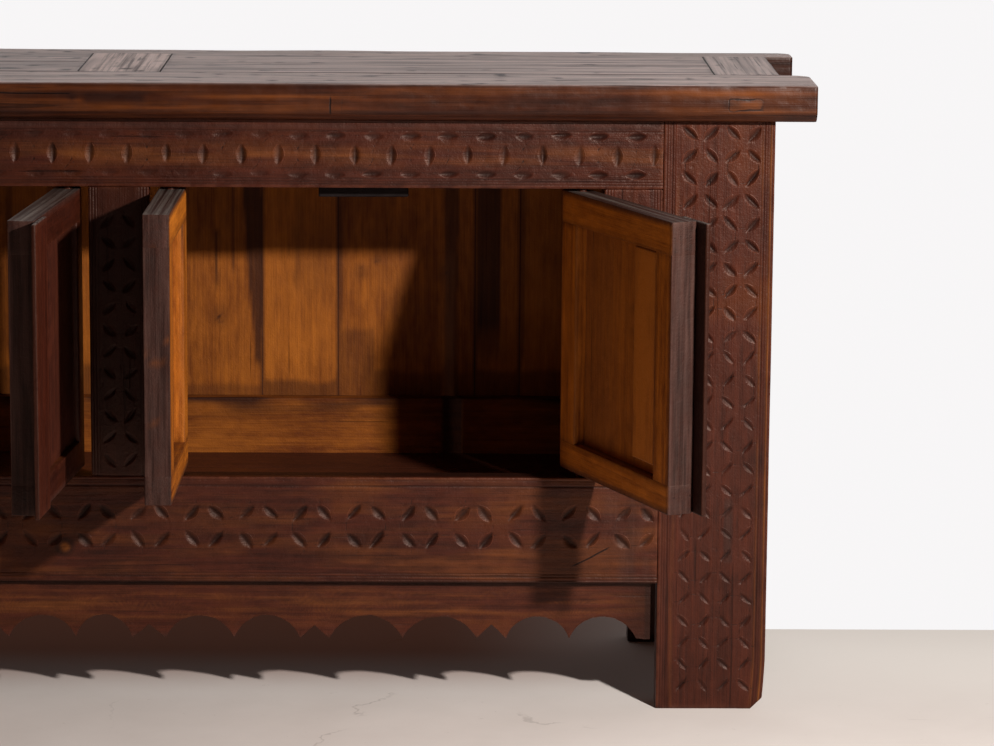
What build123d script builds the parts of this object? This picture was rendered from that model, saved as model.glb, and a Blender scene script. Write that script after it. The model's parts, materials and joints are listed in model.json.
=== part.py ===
"""Low chip-carved cabinet with four frame-and-panel doors hung on wooden pintles.

Millimetres, +Z up, +X to the right of someone who faces the cabinet, +Y towards its back.
The origin is on the floor, at the middle of the space that the cabinet takes while its
doors stand open. The pieces are first built with the front of the carcass at Y = 0, and
moved to that origin together at the end.
"""
from build123d import *
import os

# Carcass
BODY_WIDTH = 1732.0
BODY_DEPTH = 395.0
TOTAL_HEIGHT = 850.0
LEG_CLEARANCE = 173.5           # floor to the underside of the bottom rails
POST_WIDTH = 147.5
POST_DEPTH = 48.0
REAR_POST_WIDTH = 168.0
REAR_POST_DEPTH = 35.0
POST_EDGE_RADIUS = 3.0
FOOT_CHAMFER = 2.5

# Front frame
RAIL_THICKNESS = 35.0
TOP_RAIL_HEIGHT = 93.0
BOTTOM_RAIL_HEIGHT = 145.0
CENTER_STILE_WIDTH = 80.0
END_STILE_WIDTH = 77.5
RAIL_EDGE_RADIUS = 2.0

# Scalloped apron under the bottom rail
APRON_THICKNESS = 18.0
APRON_SETBACK = 12.0
APRON_HEIGHT = 80.0
APRON_END_GAP = 8.0
APRON_END_FLAT = 19.0           # at the right-hand end
ARCH_RISE = 31.0
NOTCH_RISE = 19.0
# Widths of the arches and of the notches between their pairs, cut by eye, from right to left
ARCH_WIDTHS = (90.5, 85.0, 100.0, 99.0, 89.0, 92.0, 75.5, 90.5, 98.0, 98.0, 98.0, 98.0)
NOTCH_WIDTHS = (40.0, 39.0, 45.5, 36.0, 40.0)

# Back, sides and floor
REAR_RAIL_THICKNESS = 25.0
REAR_TOP_RAIL_HEIGHT = 71.0
REAR_BOTTOM_RAIL_HEIGHT = 133.0
REAR_RAIL_RISE = 79.0           # top of the rear bottom rail above the floor boards
BACK_BOARD_THICKNESS = 15.0
BACK_BOARD_SHARES = (138, 150, 145, 145, 152, 140, 108, 195, 64, 159)
LEFT_BACK_BOARDS = 5            # how many of them are in the left-hand group
SIDE_RAIL_THICKNESS = 30.0
SIDE_PANEL_THICKNESS = 12.0
FLOOR_THICKNESS = 18.0
FLOOR_DROP = 39.5               # floor boards below the top of the bottom rail
FLOOR_BOARD_COUNT = 3
BEARER_WIDTH = 45.0
BEARER_HEIGHT = 30.0
BEARER_COUNT = 4

# Table top
TOP_THICKNESS = 49.0
TOP_FRONT_OVERHANG = 30.0
TOP_BACK_OVERHANG = 7.0
HORN_OVERHANG = 52.0            # ends of the long top rails beyond the carcass
FRONT_TOP_PLANK_WIDTH = 132.0
REAR_TOP_PLANK_WIDTH = 57.0
CLAMP_WIDTH = 88.0
CLAMP_OVERHANG = 13.0           # outer edge of the end clamps beyond the carcass
CENTER_CLAMP_WIDTH = 110.0
CENTER_CLAMP_SHIFT = -6.0
TOP_BOARDS_PER_FIELD = 2
HORN_CORNER_RADIUS = 24.0
TOP_EDGE_RADIUS = 5.0
TOP_LOWER_BEVEL = 9.0
EDGE_PICK_REACH = 1.0           # how near an edge lies to the plane it is picked by

# Doors
DOOR_THICKNESS = 34.5
NARROW_DOOR_WIDTH = 265.5
WIDE_DOOR_WIDTH = 329.3
DOOR_TOP_GAP = 4.4
DOOR_BOTTOM_GAP = 9.5
DOOR_TOP_RAIL_HEIGHT = 43.0
DOOR_BOTTOM_RAIL_HEIGHT = 38.0
DOOR_STILE_WIDTH = 46.0
PANEL_THICKNESS = 12.0
PANEL_INNER_RECESS = 15.0
BATTEN_WIDTH = 63.0
BATTEN_END_GAP = 17.0
LIP_THICKNESS = 7.2
LIP_WIDTH = 73.0
LIP_REACH = 26.0                # lip beyond the meeting edge
LIP_CLEARANCE = 0.5
DOOR_STOP_LENGTH = 120.0
DOOR_STOP_THICKNESS = 12.0
DOOR_STOP_DROP = 17.0           # stop below the top rail
DOOR_STOP_LAP = 32.0            # stop against the back of the top rail
DOOR_STOP_SHIFT = -18.0         # stop left of the middle of its bay

# Pintles
PINTLE_RADIUS = 6.0
PINTLE_CLEARANCE = 0.05
PINTLE_INSET = 26.0             # pintle axis from the hinge edge
PINTLE_Y = 16.0                 # pintle axis from the outer face
HINGE_ROUND_RADIUS = 16.0       # outer arris of the hinge edge
HINGE_EDGE_GAP = 2.0            # hinge edge from its jamb
SOCKET_DEPTH = 14.0
SOCKET_END_GAP = 0.3

# Joinery
TENON_THICKNESS = 12.0
TENON_LENGTH = 45.0
STILE_TENON_LENGTH = 24.0
TENON_SHOULDER = 10.0
GROOVE_DEPTH = 8.0
JOINT_GAP = 0.2                 # round tenons and tongues
END_GAP = 0.8                   # beyond the ends of tenons and tongues
CLAMP_TONGUE_THICKNESS = 14.0
CLAMP_TONGUE_LENGTH = 12.0

# Rest angles of the doors, in degrees from closed, left to right
DOOR_ANGLES = (110.0, 84.5, 91.0, 113.0)

# Levels and planes that the pieces share
CARCASS_TOP = TOTAL_HEIGHT - TOP_THICKNESS
OPENING_TOP = CARCASS_TOP - TOP_RAIL_HEIGHT
OPENING_BASE = LEG_CLEARANCE + BOTTOM_RAIL_HEIGHT
FLOOR_TOP = OPENING_BASE - FLOOR_DROP
HALF_WIDTH = BODY_WIDTH / 2
POST_INNER = HALF_WIDTH - POST_WIDTH
REAR_POST_INNER = HALF_WIDTH - REAR_POST_WIDTH
REAR_POST_FRONT = BODY_DEPTH - REAR_POST_DEPTH
REAR_RAIL_BACK = BODY_DEPTH - BACK_BOARD_THICKNESS
REAR_RAIL_FRONT = REAR_RAIL_BACK - REAR_RAIL_THICKNESS
SIDE_RAIL_INNER = HALF_WIDTH - SIDE_RAIL_THICKNESS
BAY_INNER = CENTER_STILE_WIDTH / 2
BAY_OUTER = POST_INNER - END_STILE_WIDTH
DOOR_TOP = OPENING_TOP - DOOR_TOP_GAP
DOOR_BASE = OPENING_BASE + DOOR_BOTTOM_GAP
TENON_Y = RAIL_THICKNESS / 2
PINTLE_TO_JAMB = PINTLE_INSET + HINGE_EDGE_GAP


def block(x0, x1, y0, y1, z0, z1):
    """Return a board between six face positions."""
    middle = Pos((x0 + x1) / 2, (y0 + y1) / 2, (z0 + z1) / 2)
    return middle * Box(x1 - x0, y1 - y0, z1 - z0)


def centered(x, width, y, depth, z0, z1, grow=0.0):
    """Return a board about a plan position, widened by grow on its four sides."""
    half_x = width / 2 + grow
    half_y = depth / 2 + grow
    return block(x - half_x, x + half_x, y - half_y, y + half_y, z0, z1)


def eased(solid, radius, axis=Axis.Z):
    """Round the long edges of a board that run along one axis."""
    return fillet(solid.edges().filter_by(axis), radius)


# ---------------------------------------------------------------- front frame

def front_rail_tenons(z0, z1, grow=0.0, end=0.0):
    """Tenons of a front rail, or their mortises when grown."""
    reach = POST_INNER + TENON_LENGTH + end
    half = TENON_THICKNESS / 2 + grow
    low = z0 + TENON_SHOULDER - grow
    high = z1 - TENON_SHOULDER + grow
    return block(-reach, reach, TENON_Y - half, TENON_Y + half, low, high)


def stile_places():
    """List the front stiles as name, centre and width."""
    end = POST_INNER - END_STILE_WIDTH / 2
    return (
        ("stile_left", -end, END_STILE_WIDTH),
        ("stile_center", 0.0, CENTER_STILE_WIDTH),
        ("stile_right", end, END_STILE_WIDTH),
    )


def stile_tenons(x, width, grow=0.0, end=0.0):
    """Tenons at both ends of a front stile, or their mortises when grown."""
    low = OPENING_BASE - STILE_TENON_LENGTH - end
    high = OPENING_TOP + STILE_TENON_LENGTH + end
    tenon_width = width - 2 * TENON_SHOULDER
    return centered(x, tenon_width, TENON_Y, TENON_THICKNESS, low, high, grow)


def front_rail(z0, z1):
    """Front rail with tenons, stile mortises and pintle sockets."""
    body = block(-POST_INNER, POST_INNER, 0, RAIL_THICKNESS, z0, z1)
    rail = eased(body, RAIL_EDGE_RADIUS, Axis.X) + front_rail_tenons(z0, z1)
    for _, x, width in stile_places():
        rail -= stile_tenons(x, width, JOINT_GAP, END_GAP)
    for door in doors():
        rail -= pintle_socket(door["pintle_x"])
    return rail


def pintle_socket(x):
    """Round sockets for one door's pintles, above and below the opening."""
    low = OPENING_BASE - SOCKET_DEPTH
    high = OPENING_TOP + SOCKET_DEPTH
    socket = Cylinder(PINTLE_RADIUS + PINTLE_CLEARANCE, high - low)
    return Pos(x, PINTLE_Y, (low + high) / 2) * socket


def front_stile(x, width):
    """Carved stile between the front rails."""
    half = width / 2
    body = block(x - half, x + half, 0, RAIL_THICKNESS, OPENING_BASE, OPENING_TOP)
    return eased(body, RAIL_EDGE_RADIUS) + stile_tenons(x, width)


def apron():
    """Scalloped board: pairs of arches with a V notch between the pairs."""
    half = POST_INNER - APRON_END_GAP
    low = LEG_CLEARANCE - APRON_HEIGHT
    x = half - APRON_END_FLAT
    edge = [Line((half, low), (x, low))]
    notches = iter(NOTCH_WIDTHS)
    for index, width in enumerate(ARCH_WIDTHS):
        if index and index % 2 == 0:
            notch = next(notches)
            edge.append(Line((x, low), (x - notch / 2, low + NOTCH_RISE)))
            edge.append(Line((x - notch / 2, low + NOTCH_RISE), (x - notch, low)))
            x -= notch
        crown = (x - width / 2, low + ARCH_RISE)
        edge.append(ThreePointArc((x, low), crown, (x - width, low)))
        x -= width
    rest = Polyline((x, low), (-half, low), (-half, LEG_CLEARANCE), (half, LEG_CLEARANCE), (half, low))
    outline = make_face(Wire(edges=[part for line in edge + [rest] for part in line.edges()]))
    plane = Plane.XZ.offset(-APRON_SETBACK)
    return extrude(plane * outline, -APRON_THICKNESS)


# ---------------------------------------------------------- posts, back, sides

def rear_rail_tenons(z0, z1, grow=0.0, end=0.0):
    """Tenons of a rear rail, or their mortises when grown."""
    reach = REAR_POST_INNER + TENON_LENGTH + end
    middle = REAR_RAIL_BACK - TENON_THICKNESS / 2 - RAIL_EDGE_RADIUS
    half = TENON_THICKNESS / 2 + grow
    low = z0 + TENON_SHOULDER - grow
    high = z1 - TENON_SHOULDER + grow
    return block(-reach, reach, middle - half, middle + half, low, high)


def side_rail_tenons(side, z0, z1, grow=0.0, end=0.0):
    """Tenons of a side rail into its posts, or their mortises when grown."""
    middle = HALF_WIDTH - SIDE_RAIL_THICKNESS / 2
    length = REAR_POST_DEPTH / 2
    low_y = POST_DEPTH - length - end
    high_y = REAR_POST_FRONT + length + end
    center = (low_y + high_y) / 2
    tenon = Box(TENON_THICKNESS + 2 * grow, high_y - low_y, z1 - z0 - 2 * TENON_SHOULDER + 2 * grow)
    return Pos(side * middle, center, (z0 + z1) / 2) * tenon


def side_panel(side, grow=0.0, end=0.0):
    """Side panel in its frame, or the grooves for it when grown."""
    reach = GROOVE_DEPTH - END_GAP + end
    middle = HALF_WIDTH - SIDE_RAIL_THICKNESS / 2
    half = SIDE_PANEL_THICKNESS / 2 + grow
    inner = block(
        middle - half, middle + half,
        POST_DEPTH - reach, REAR_POST_FRONT + reach,
        OPENING_BASE - reach, OPENING_TOP + reach,
    )
    return inner if side > 0 else mirror(inner, Plane.YZ)


def rail_levels():
    """Heights of the upper and the lower rails round the carcass."""
    return ((OPENING_TOP, CARCASS_TOP), (LEG_CLEARANCE, OPENING_BASE))


def rear_rail_levels():
    """Heights of the upper and the lower rear rail."""
    low_top = FLOOR_TOP + REAR_RAIL_RISE
    return (
        (CARCASS_TOP - REAR_TOP_RAIL_HEIGHT, CARCASS_TOP),
        (low_top - REAR_BOTTOM_RAIL_HEIGHT, low_top),
    )


def front_post(side):
    """Front post, which is also the leg, with its mortises and panel groove."""
    middle = side * (HALF_WIDTH - POST_WIDTH / 2)
    body = centered(middle, POST_WIDTH, POST_DEPTH / 2, POST_DEPTH, 0, CARCASS_TOP)
    post = eased(body, POST_EDGE_RADIUS)
    post = chamfer(post.faces().sort_by(Axis.Z)[0].edges(), FOOT_CHAMFER)
    for low, high in rail_levels():
        post -= front_rail_tenons(low, high, JOINT_GAP, END_GAP)
        post -= side_rail_tenons(side, low, high, JOINT_GAP, END_GAP)
    return post - side_panel(side, JOINT_GAP, END_GAP)


def rear_post(side):
    """Rear post, which is also the leg, with its mortises and panel groove."""
    x = side * (HALF_WIDTH - REAR_POST_WIDTH / 2)
    y = BODY_DEPTH - REAR_POST_DEPTH / 2
    body = centered(x, REAR_POST_WIDTH, y, REAR_POST_DEPTH, 0, CARCASS_TOP)
    post = eased(body, POST_EDGE_RADIUS)
    post = chamfer(post.faces().sort_by(Axis.Z)[0].edges(), FOOT_CHAMFER)
    for low, high in rear_rail_levels():
        post -= rear_rail_tenons(low, high, JOINT_GAP, END_GAP)
        post -= rear_rail_seat(low, high)
    for low, high in rail_levels():
        post -= side_rail_tenons(side, low, high, JOINT_GAP, END_GAP)
    return post - side_panel(side, JOINT_GAP, END_GAP)


def rear_rail_seat(low, high):
    """Room for the body of a rear rail between the rear posts."""
    return block(-REAR_POST_INNER, REAR_POST_INNER, REAR_RAIL_FRONT, REAR_RAIL_BACK, low, high)


def rear_rail(low, high):
    """Rear rail, which carries the back boards on its back face."""
    body = rear_rail_seat(low, high)
    return eased(body, RAIL_EDGE_RADIUS, Axis.X) + rear_rail_tenons(low, high)


def back_boards():
    """Vertical back boards from left to right, edge to edge."""
    low = rear_rail_levels()[1][0]
    scale = 2 * REAR_POST_INNER / sum(BACK_BOARD_SHARES)
    boards = []
    x = -REAR_POST_INNER
    for share in BACK_BOARD_SHARES:
        boards.append(block(x, x + share * scale, REAR_RAIL_BACK, BODY_DEPTH, low, CARCASS_TOP))
        x += share * scale
    return boards


def side_rail(side, low, high):
    """Side rail between a front and a rear post, grooved for the side panel."""
    middle = side * (HALF_WIDTH - SIDE_RAIL_THICKNESS / 2)
    length = REAR_POST_FRONT - POST_DEPTH
    body = centered(middle, SIDE_RAIL_THICKNESS, POST_DEPTH + length / 2, length, low, high)
    rail = eased(body, RAIL_EDGE_RADIUS, Axis.Y) + side_rail_tenons(side, low, high)
    return rail - side_panel(side, JOINT_GAP, END_GAP)


def floor_boards():
    """Floor boards from front to back, edge to edge."""
    depth = (REAR_RAIL_FRONT - POST_DEPTH) / FLOOR_BOARD_COUNT
    low = FLOOR_TOP - FLOOR_THICKNESS
    boards = []
    for index in range(FLOOR_BOARD_COUNT):
        y = POST_DEPTH + index * depth
        boards.append(block(-SIDE_RAIL_INNER, SIDE_RAIL_INNER, y, y + depth, low, FLOOR_TOP))
    return boards


def floor_bearers():
    """Cross bearers under the floor, from the front rail to the rear rail."""
    high = FLOOR_TOP - FLOOR_THICKNESS
    pitch = 2 * REAR_POST_INNER / BEARER_COUNT
    depth = REAR_RAIL_FRONT - RAIL_THICKNESS
    bearers = []
    for index in range(BEARER_COUNT):
        x = -REAR_POST_INNER + (index + 0.5) * pitch
        y = RAIL_THICKNESS + depth / 2
        bearers.append(centered(x, BEARER_WIDTH, y, depth, high - BEARER_HEIGHT, high))
    return bearers


# ------------------------------------------------------------------- table top

def top_planes():
    """Front, seam and rear planes of the table top, in Y."""
    front = -TOP_FRONT_OVERHANG
    rear = BODY_DEPTH + TOP_BACK_OVERHANG
    return front, front + FRONT_TOP_PLANK_WIDTH, rear - REAR_TOP_PLANK_WIDTH, rear


def edges_at(edges, y):
    """Pick the edges that lie in one plane across Y."""
    return edges.filter_by_position(Axis.Y, y - EDGE_PICK_REACH, y + EDGE_PICK_REACH)


def long_top_plank(y0, y1, outer_y):
    """Full-length plank whose horned ends stand past the clamps."""
    half = HALF_WIDTH + HORN_OVERHANG
    plank = block(-half, half, y0, y1, CARCASS_TOP, TOTAL_HEIGHT)
    plank = fillet(edges_at(plank.edges().filter_by(Axis.Z), outer_y), HORN_CORNER_RADIUS)
    lower = plank.faces().sort_by(Axis.Z)[0].edges()
    plank = chamfer(edges_at(lower, outer_y), TOP_LOWER_BEVEL)
    upper = plank.faces().sort_by(Axis.Z)[-1].edges()
    return fillet(edges_at(upper, outer_y), TOP_EDGE_RADIUS)


def clamp_places():
    """List the cross clamps as name, left edge and right edge."""
    outer = HALF_WIDTH + CLAMP_OVERHANG
    half = CENTER_CLAMP_WIDTH / 2
    return (
        ("top_clamp_left", -outer, -outer + CLAMP_WIDTH),
        ("top_clamp_center", CENTER_CLAMP_SHIFT - half, CENTER_CLAMP_SHIFT + half),
        ("top_clamp_right", outer - CLAMP_WIDTH, outer),
    )


def field_tongues(x0, x1, grow=0.0, end=0.0):
    """End tongues of the boards in one field, or the clamps' grooves when grown."""
    _, seam_front, seam_rear, _ = top_planes()
    reach = CLAMP_TONGUE_LENGTH + end
    half = CLAMP_TONGUE_THICKNESS / 2 + grow
    middle = CARCASS_TOP + TOP_THICKNESS / 2
    return block(x0 - reach, x1 + reach, seam_front, seam_rear, middle - half, middle + half)


def top_fields():
    """Left and right field between the clamps, as name and two edges."""
    left, center, right = clamp_places()
    return (("left", left[2], center[1]), ("right", center[2], right[1]))


def top_clamp(x0, x1):
    """Cross clamp, grooved for the tongues of the boards beside it."""
    _, seam_front, seam_rear, _ = top_planes()
    clamp = block(x0, x1, seam_front, seam_rear, CARCASS_TOP, TOTAL_HEIGHT)
    for _, field_start, field_end in top_fields():
        clamp -= field_tongues(field_start, field_end, JOINT_GAP, END_GAP)
    return clamp


def top_boards(x0, x1):
    """Boards of one field, front to back, each with an end tongue."""
    _, seam_front, seam_rear, _ = top_planes()
    depth = (seam_rear - seam_front) / TOP_BOARDS_PER_FIELD
    boards = []
    for index in range(TOP_BOARDS_PER_FIELD):
        y = seam_front + index * depth
        body = block(x0, x1, y, y + depth, CARCASS_TOP, TOTAL_HEIGHT)
        strip = block(x0 - POST_WIDTH, x1 + POST_WIDTH, y, y + depth, CARCASS_TOP, TOTAL_HEIGHT)
        boards.append(body + (field_tongues(x0, x1) & strip))
    return boards


# ----------------------------------------------------------------------- doors

def doors():
    """Describe the four doors: name, pintle position, hand, width, lap and angle.

    The right-hand door of each bay laps over the left-hand one with its outer lip.
    """
    left = BAY_OUTER - PINTLE_TO_JAMB
    right = BAY_INNER + PINTLE_TO_JAMB
    places = (
        ("door_1", -left, 1, NARROW_DOOR_WIDTH, False),
        ("door_2", -right, -1, WIDE_DOOR_WIDTH, True),
        ("door_3", right, 1, NARROW_DOOR_WIDTH, False),
        ("door_4", left, -1, WIDE_DOOR_WIDTH, True),
    )
    return [
        {"name": name, "pintle_x": x, "hand": hand, "width": width, "laps": laps, "angle": angle}
        for (name, x, hand, width, laps), angle in zip(places, DOOR_ANGLES)
    ]


def door_block(s0, s1, t0, t1, z0, z1):
    """Board placed from the hinge edge, the outer face and the floor."""
    x = -PINTLE_INSET
    y = -PINTLE_Y
    return block(x + s0, x + s1, y + t0, y + t1, z0, z1)


def hinge_nose(z0, z1):
    """Hinge edge of a door piece, with its outer arris rounded so that it turns clear of the jamb."""
    radius = HINGE_ROUND_RADIUS
    inner = door_block(0, radius, radius, DOOR_THICKNESS, z0, z1)
    round_part = Pos(radius - PINTLE_INSET, radius - PINTLE_Y, (z0 + z1) / 2) * Cylinder(radius, z1 - z0)
    return inner + round_part


def door_levels():
    """Bottom, lower seam, upper seam and top of a door."""
    return DOOR_BASE, DOOR_BASE + DOOR_BOTTOM_RAIL_HEIGHT, DOOR_TOP - DOOR_TOP_RAIL_HEIGHT, DOOR_TOP


def door_panel(width, grow=0.0, end=0.0):
    """Door panel, or the grooves for it when grown."""
    _, low, high, _ = door_levels()
    reach = GROOVE_DEPTH - END_GAP + end
    inner = DOOR_THICKNESS - PANEL_INNER_RECESS
    return door_block(
        DOOR_STILE_WIDTH - reach, width - DOOR_STILE_WIDTH + reach,
        inner - PANEL_THICKNESS - grow, inner + grow,
        low - reach, high + reach,
    )


def meeting_stile_tenons(width, grow=0.0, end=0.0):
    """Tenons of the meeting stile, or their mortises when grown."""
    _, low, high, _ = door_levels()
    center = width - DOOR_STILE_WIDTH / 2 - PINTLE_INSET
    tenon_width = DOOR_STILE_WIDTH - 2 * TENON_SHOULDER
    reach = STILE_TENON_LENGTH + end
    return centered(center, tenon_width, 0, TENON_THICKNESS, low - reach, high + reach, grow)


def pintle_bar(radius, end=0.0):
    """Round bar through a door's height, down into its sockets."""
    low = OPENING_BASE - SOCKET_DEPTH + SOCKET_END_GAP - end
    high = OPENING_TOP + SOCKET_DEPTH - SOCKET_END_GAP + end
    return Pos(0, 0, (low + high) / 2) * Cylinder(radius, high - low)


def door_rail(width, z0, z1):
    """Door rail over the ends of both stiles, with a rounded hinge end."""
    rail = door_block(HINGE_ROUND_RADIUS, width, 0, DOOR_THICKNESS, z0, z1) + hinge_nose(z0, z1)
    rail -= door_panel(width, JOINT_GAP, END_GAP)
    rail -= meeting_stile_tenons(width, JOINT_GAP, END_GAP)
    return rail - pintle_bar(PINTLE_RADIUS + PINTLE_CLEARANCE)


def hinge_stile(width):
    """Hinge stile, turned down at both ends into the pintles."""
    _, low, high, _ = door_levels()
    body = door_block(HINGE_ROUND_RADIUS, DOOR_STILE_WIDTH, 0, DOOR_THICKNESS, low, high)
    stile = body + hinge_nose(low, high) - door_panel(width, JOINT_GAP, END_GAP)
    return stile + pintle_bar(PINTLE_RADIUS)


def meeting_stile(width):
    """Meeting stile, tenoned into the rails."""
    _, low, high, _ = door_levels()
    body = door_block(width - DOOR_STILE_WIDTH, width, 0, DOOR_THICKNESS, low, high)
    return body - door_panel(width, JOINT_GAP, END_GAP) + meeting_stile_tenons(width)


def meeting_lip(width):
    """Strip on the outer face that laps over the narrow door when closed."""
    start = width + LIP_REACH - LIP_WIDTH
    strip = door_block(start, width + LIP_REACH, -LIP_THICKNESS, 0, DOOR_BASE, DOOR_TOP)
    relief = door_block(width, width + LIP_REACH, -LIP_CLEARANCE, 0, DOOR_BASE, DOOR_TOP)
    return strip - relief


def inner_batten(width):
    """Batten on the inside of the panel, beside the meeting stile."""
    _, low, high, _ = door_levels()
    start = width - DOOR_STILE_WIDTH - BATTEN_WIDTH
    inner = DOOR_THICKNESS - PANEL_INNER_RECESS
    return door_block(start, start + BATTEN_WIDTH, inner, DOOR_THICKNESS, low + BATTEN_END_GAP, high)


def door_pieces(door):
    """Build one door at its rest angle, as a dictionary of named solids."""
    width = door["width"]
    base, low, high, top = door_levels()
    pieces = {
        "top_rail": door_rail(width, high, top),
        "bottom_rail": door_rail(width, base, low),
        "hinge_stile": hinge_stile(width),
        "meeting_stile": meeting_stile(width),
        "panel": door_panel(width),
    }
    if door["laps"]:
        pieces["lip"] = meeting_lip(width)
        pieces["batten"] = inner_batten(width)
    place = Pos(door["pintle_x"], PINTLE_Y, 0) * Rot(0, 0, -door["hand"] * door["angle"])
    placed = {}
    for piece, solid in pieces.items():
        handed = solid if door["hand"] > 0 else mirror(solid, Plane.YZ)
        placed[f"{door['name']}_{piece}"] = place * handed
    return placed


def door_stops():
    """Stop blocks behind the top rail, one near the middle of each bay."""
    middle = (BAY_INNER + BAY_OUTER) / 2
    y = RAIL_THICKNESS + DOOR_STOP_THICKNESS / 2
    low = OPENING_TOP - DOOR_STOP_DROP
    high = OPENING_TOP + DOOR_STOP_LAP
    return [
        centered(x + DOOR_STOP_SHIFT, DOOR_STOP_LENGTH, y, DOOR_STOP_THICKNESS, low, high)
        for x in (-middle, middle)
    ]


# -------------------------------------------------------------------- assembly

def carcass_pieces():
    """Build every fixed piece below the table top."""
    (top_low, top_high), (base_low, base_high) = rail_levels()
    (rear_low, rear_high), (rear_base_low, rear_base_high) = rear_rail_levels()
    pieces = {
        "front_top_rail": front_rail(top_low, top_high),
        "front_bottom_rail": front_rail(base_low, base_high),
        "apron": apron(),
        "rear_top_rail": rear_rail(rear_low, rear_high),
        "rear_bottom_rail": rear_rail(rear_base_low, rear_base_high),
        "floor_bearers": Compound(floor_bearers()),
        "door_stops": Compound(door_stops()),
    }
    for name, x, width in stile_places():
        pieces[name] = front_stile(x, width)
    for hand, side in (("left", -1), ("right", 1)):
        pieces[f"post_front_{hand}"] = front_post(side)
        pieces[f"post_rear_{hand}"] = rear_post(side)
        pieces[f"side_top_rail_{hand}"] = side_rail(side, top_low, top_high)
        pieces[f"side_bottom_rail_{hand}"] = side_rail(side, base_low, base_high)
        pieces[f"side_panel_{hand}"] = side_panel(side)
    boards = back_boards()
    pieces["back_boards_left"] = Compound(boards[:LEFT_BACK_BOARDS])
    pieces["back_boards_right"] = Compound(boards[LEFT_BACK_BOARDS:])
    for index, board in enumerate(floor_boards(), 1):
        pieces[f"floor_board_{index}"] = board
    return pieces


def top_pieces():
    """Build the pieces of the table top."""
    front, seam_front, seam_rear, rear = top_planes()
    pieces = {
        "top_front_plank": long_top_plank(front, seam_front, front),
        "top_rear_plank": long_top_plank(seam_rear, rear, rear),
    }
    for name, x0, x1 in clamp_places():
        pieces[name] = top_clamp(x0, x1)
    for field, x0, x1 in top_fields():
        for index, board in enumerate(top_boards(x0, x1), 1):
            pieces[f"top_board_{field}_{index}"] = board
    return pieces


def build():
    """Return every piece by name, in the cabinet's own frame, and the shift to it."""
    pieces = carcass_pieces()
    pieces.update(top_pieces())
    for door in doors():
        pieces.update(door_pieces(door))
    boxes = [piece.bounding_box() for piece in pieces.values()]
    shift = -(min(box.min.Y for box in boxes) + max(box.max.Y for box in boxes)) / 2
    return {name: Pos(0, shift, 0) * piece for name, piece in pieces.items()}, shift


PIECES, ORIGIN_SHIFT = build()
os.makedirs("parts", exist_ok=True)
for node, piece in PIECES.items():
    export_step(piece, f"parts/{node}.step")
print(f"{len(PIECES)} nodes, carcass front at Y = {ORIGIN_SHIFT:.3f}")
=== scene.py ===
"""Builds the finished look of a low chip-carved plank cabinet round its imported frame.

Metres, +Z up, +X to the right of someone who faces the cabinet, +Y towards its back.
Every board is made from the place of its solid in the frame, and stands for that solid.
"""
import json
import math

import bpy
import numpy as np
from bpy.props import FloatProperty, FloatVectorProperty, IntProperty, PointerProperty
from mathutils import Matrix, Vector


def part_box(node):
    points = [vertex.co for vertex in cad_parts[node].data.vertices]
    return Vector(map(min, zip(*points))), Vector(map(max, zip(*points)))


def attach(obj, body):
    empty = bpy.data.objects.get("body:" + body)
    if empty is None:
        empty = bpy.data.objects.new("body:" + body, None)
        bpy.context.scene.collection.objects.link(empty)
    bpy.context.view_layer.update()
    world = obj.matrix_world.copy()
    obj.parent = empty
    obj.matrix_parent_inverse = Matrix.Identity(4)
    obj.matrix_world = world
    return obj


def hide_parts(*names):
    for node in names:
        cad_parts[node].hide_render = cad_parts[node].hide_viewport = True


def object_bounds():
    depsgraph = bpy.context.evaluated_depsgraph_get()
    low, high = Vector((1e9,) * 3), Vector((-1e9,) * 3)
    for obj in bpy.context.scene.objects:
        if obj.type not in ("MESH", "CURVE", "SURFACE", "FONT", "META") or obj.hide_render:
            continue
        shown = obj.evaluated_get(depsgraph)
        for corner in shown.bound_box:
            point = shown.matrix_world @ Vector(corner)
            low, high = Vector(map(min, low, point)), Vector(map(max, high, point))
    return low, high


bl_info = {
    "name": "Chip-carved plank cabinet",
    "version": (1, 0, 0),
    "blender": (4, 5, 0),
    "location": "View3D > Sidebar > Cabinet",
    "description": "Builds a low carved cabinet with framed doors, its woods and its stage",
    "category": "Object",
}

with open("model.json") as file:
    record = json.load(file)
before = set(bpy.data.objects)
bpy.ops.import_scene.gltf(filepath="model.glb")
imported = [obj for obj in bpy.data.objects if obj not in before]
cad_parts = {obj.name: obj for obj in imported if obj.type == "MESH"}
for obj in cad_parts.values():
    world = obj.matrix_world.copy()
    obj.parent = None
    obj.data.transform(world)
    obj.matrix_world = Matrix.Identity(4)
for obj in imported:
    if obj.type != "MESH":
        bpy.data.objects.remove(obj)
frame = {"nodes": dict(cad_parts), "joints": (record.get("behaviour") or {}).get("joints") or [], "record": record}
CAD_LOW, CAD_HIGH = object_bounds()
JOINTS = {joint["child"]: joint for joint in frame["joints"]}
CARCASS = "carcass"


def tint(red, green, blue):
    """Turn a colour given in 0 to 255 screen values into the linear values of a shader."""
    values = []
    for value in (red, green, blue):
        value /= 255
        values.append(value / 12.92 if value <= 0.04045 else ((value + 0.055) / 1.055) ** 2.4)
    return (*values, 1.0)


def share(values):
    """Keep an array of values between 0 and 1."""
    return np.clip(values, 0, 1)


def near(gap, reach):
    """Fall evenly from 1, where there is no gap, to 0 at the reach."""
    return np.clip(1 - gap / reach, 0, 1)


# ------------------------------------------------------------------- node maths

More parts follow.
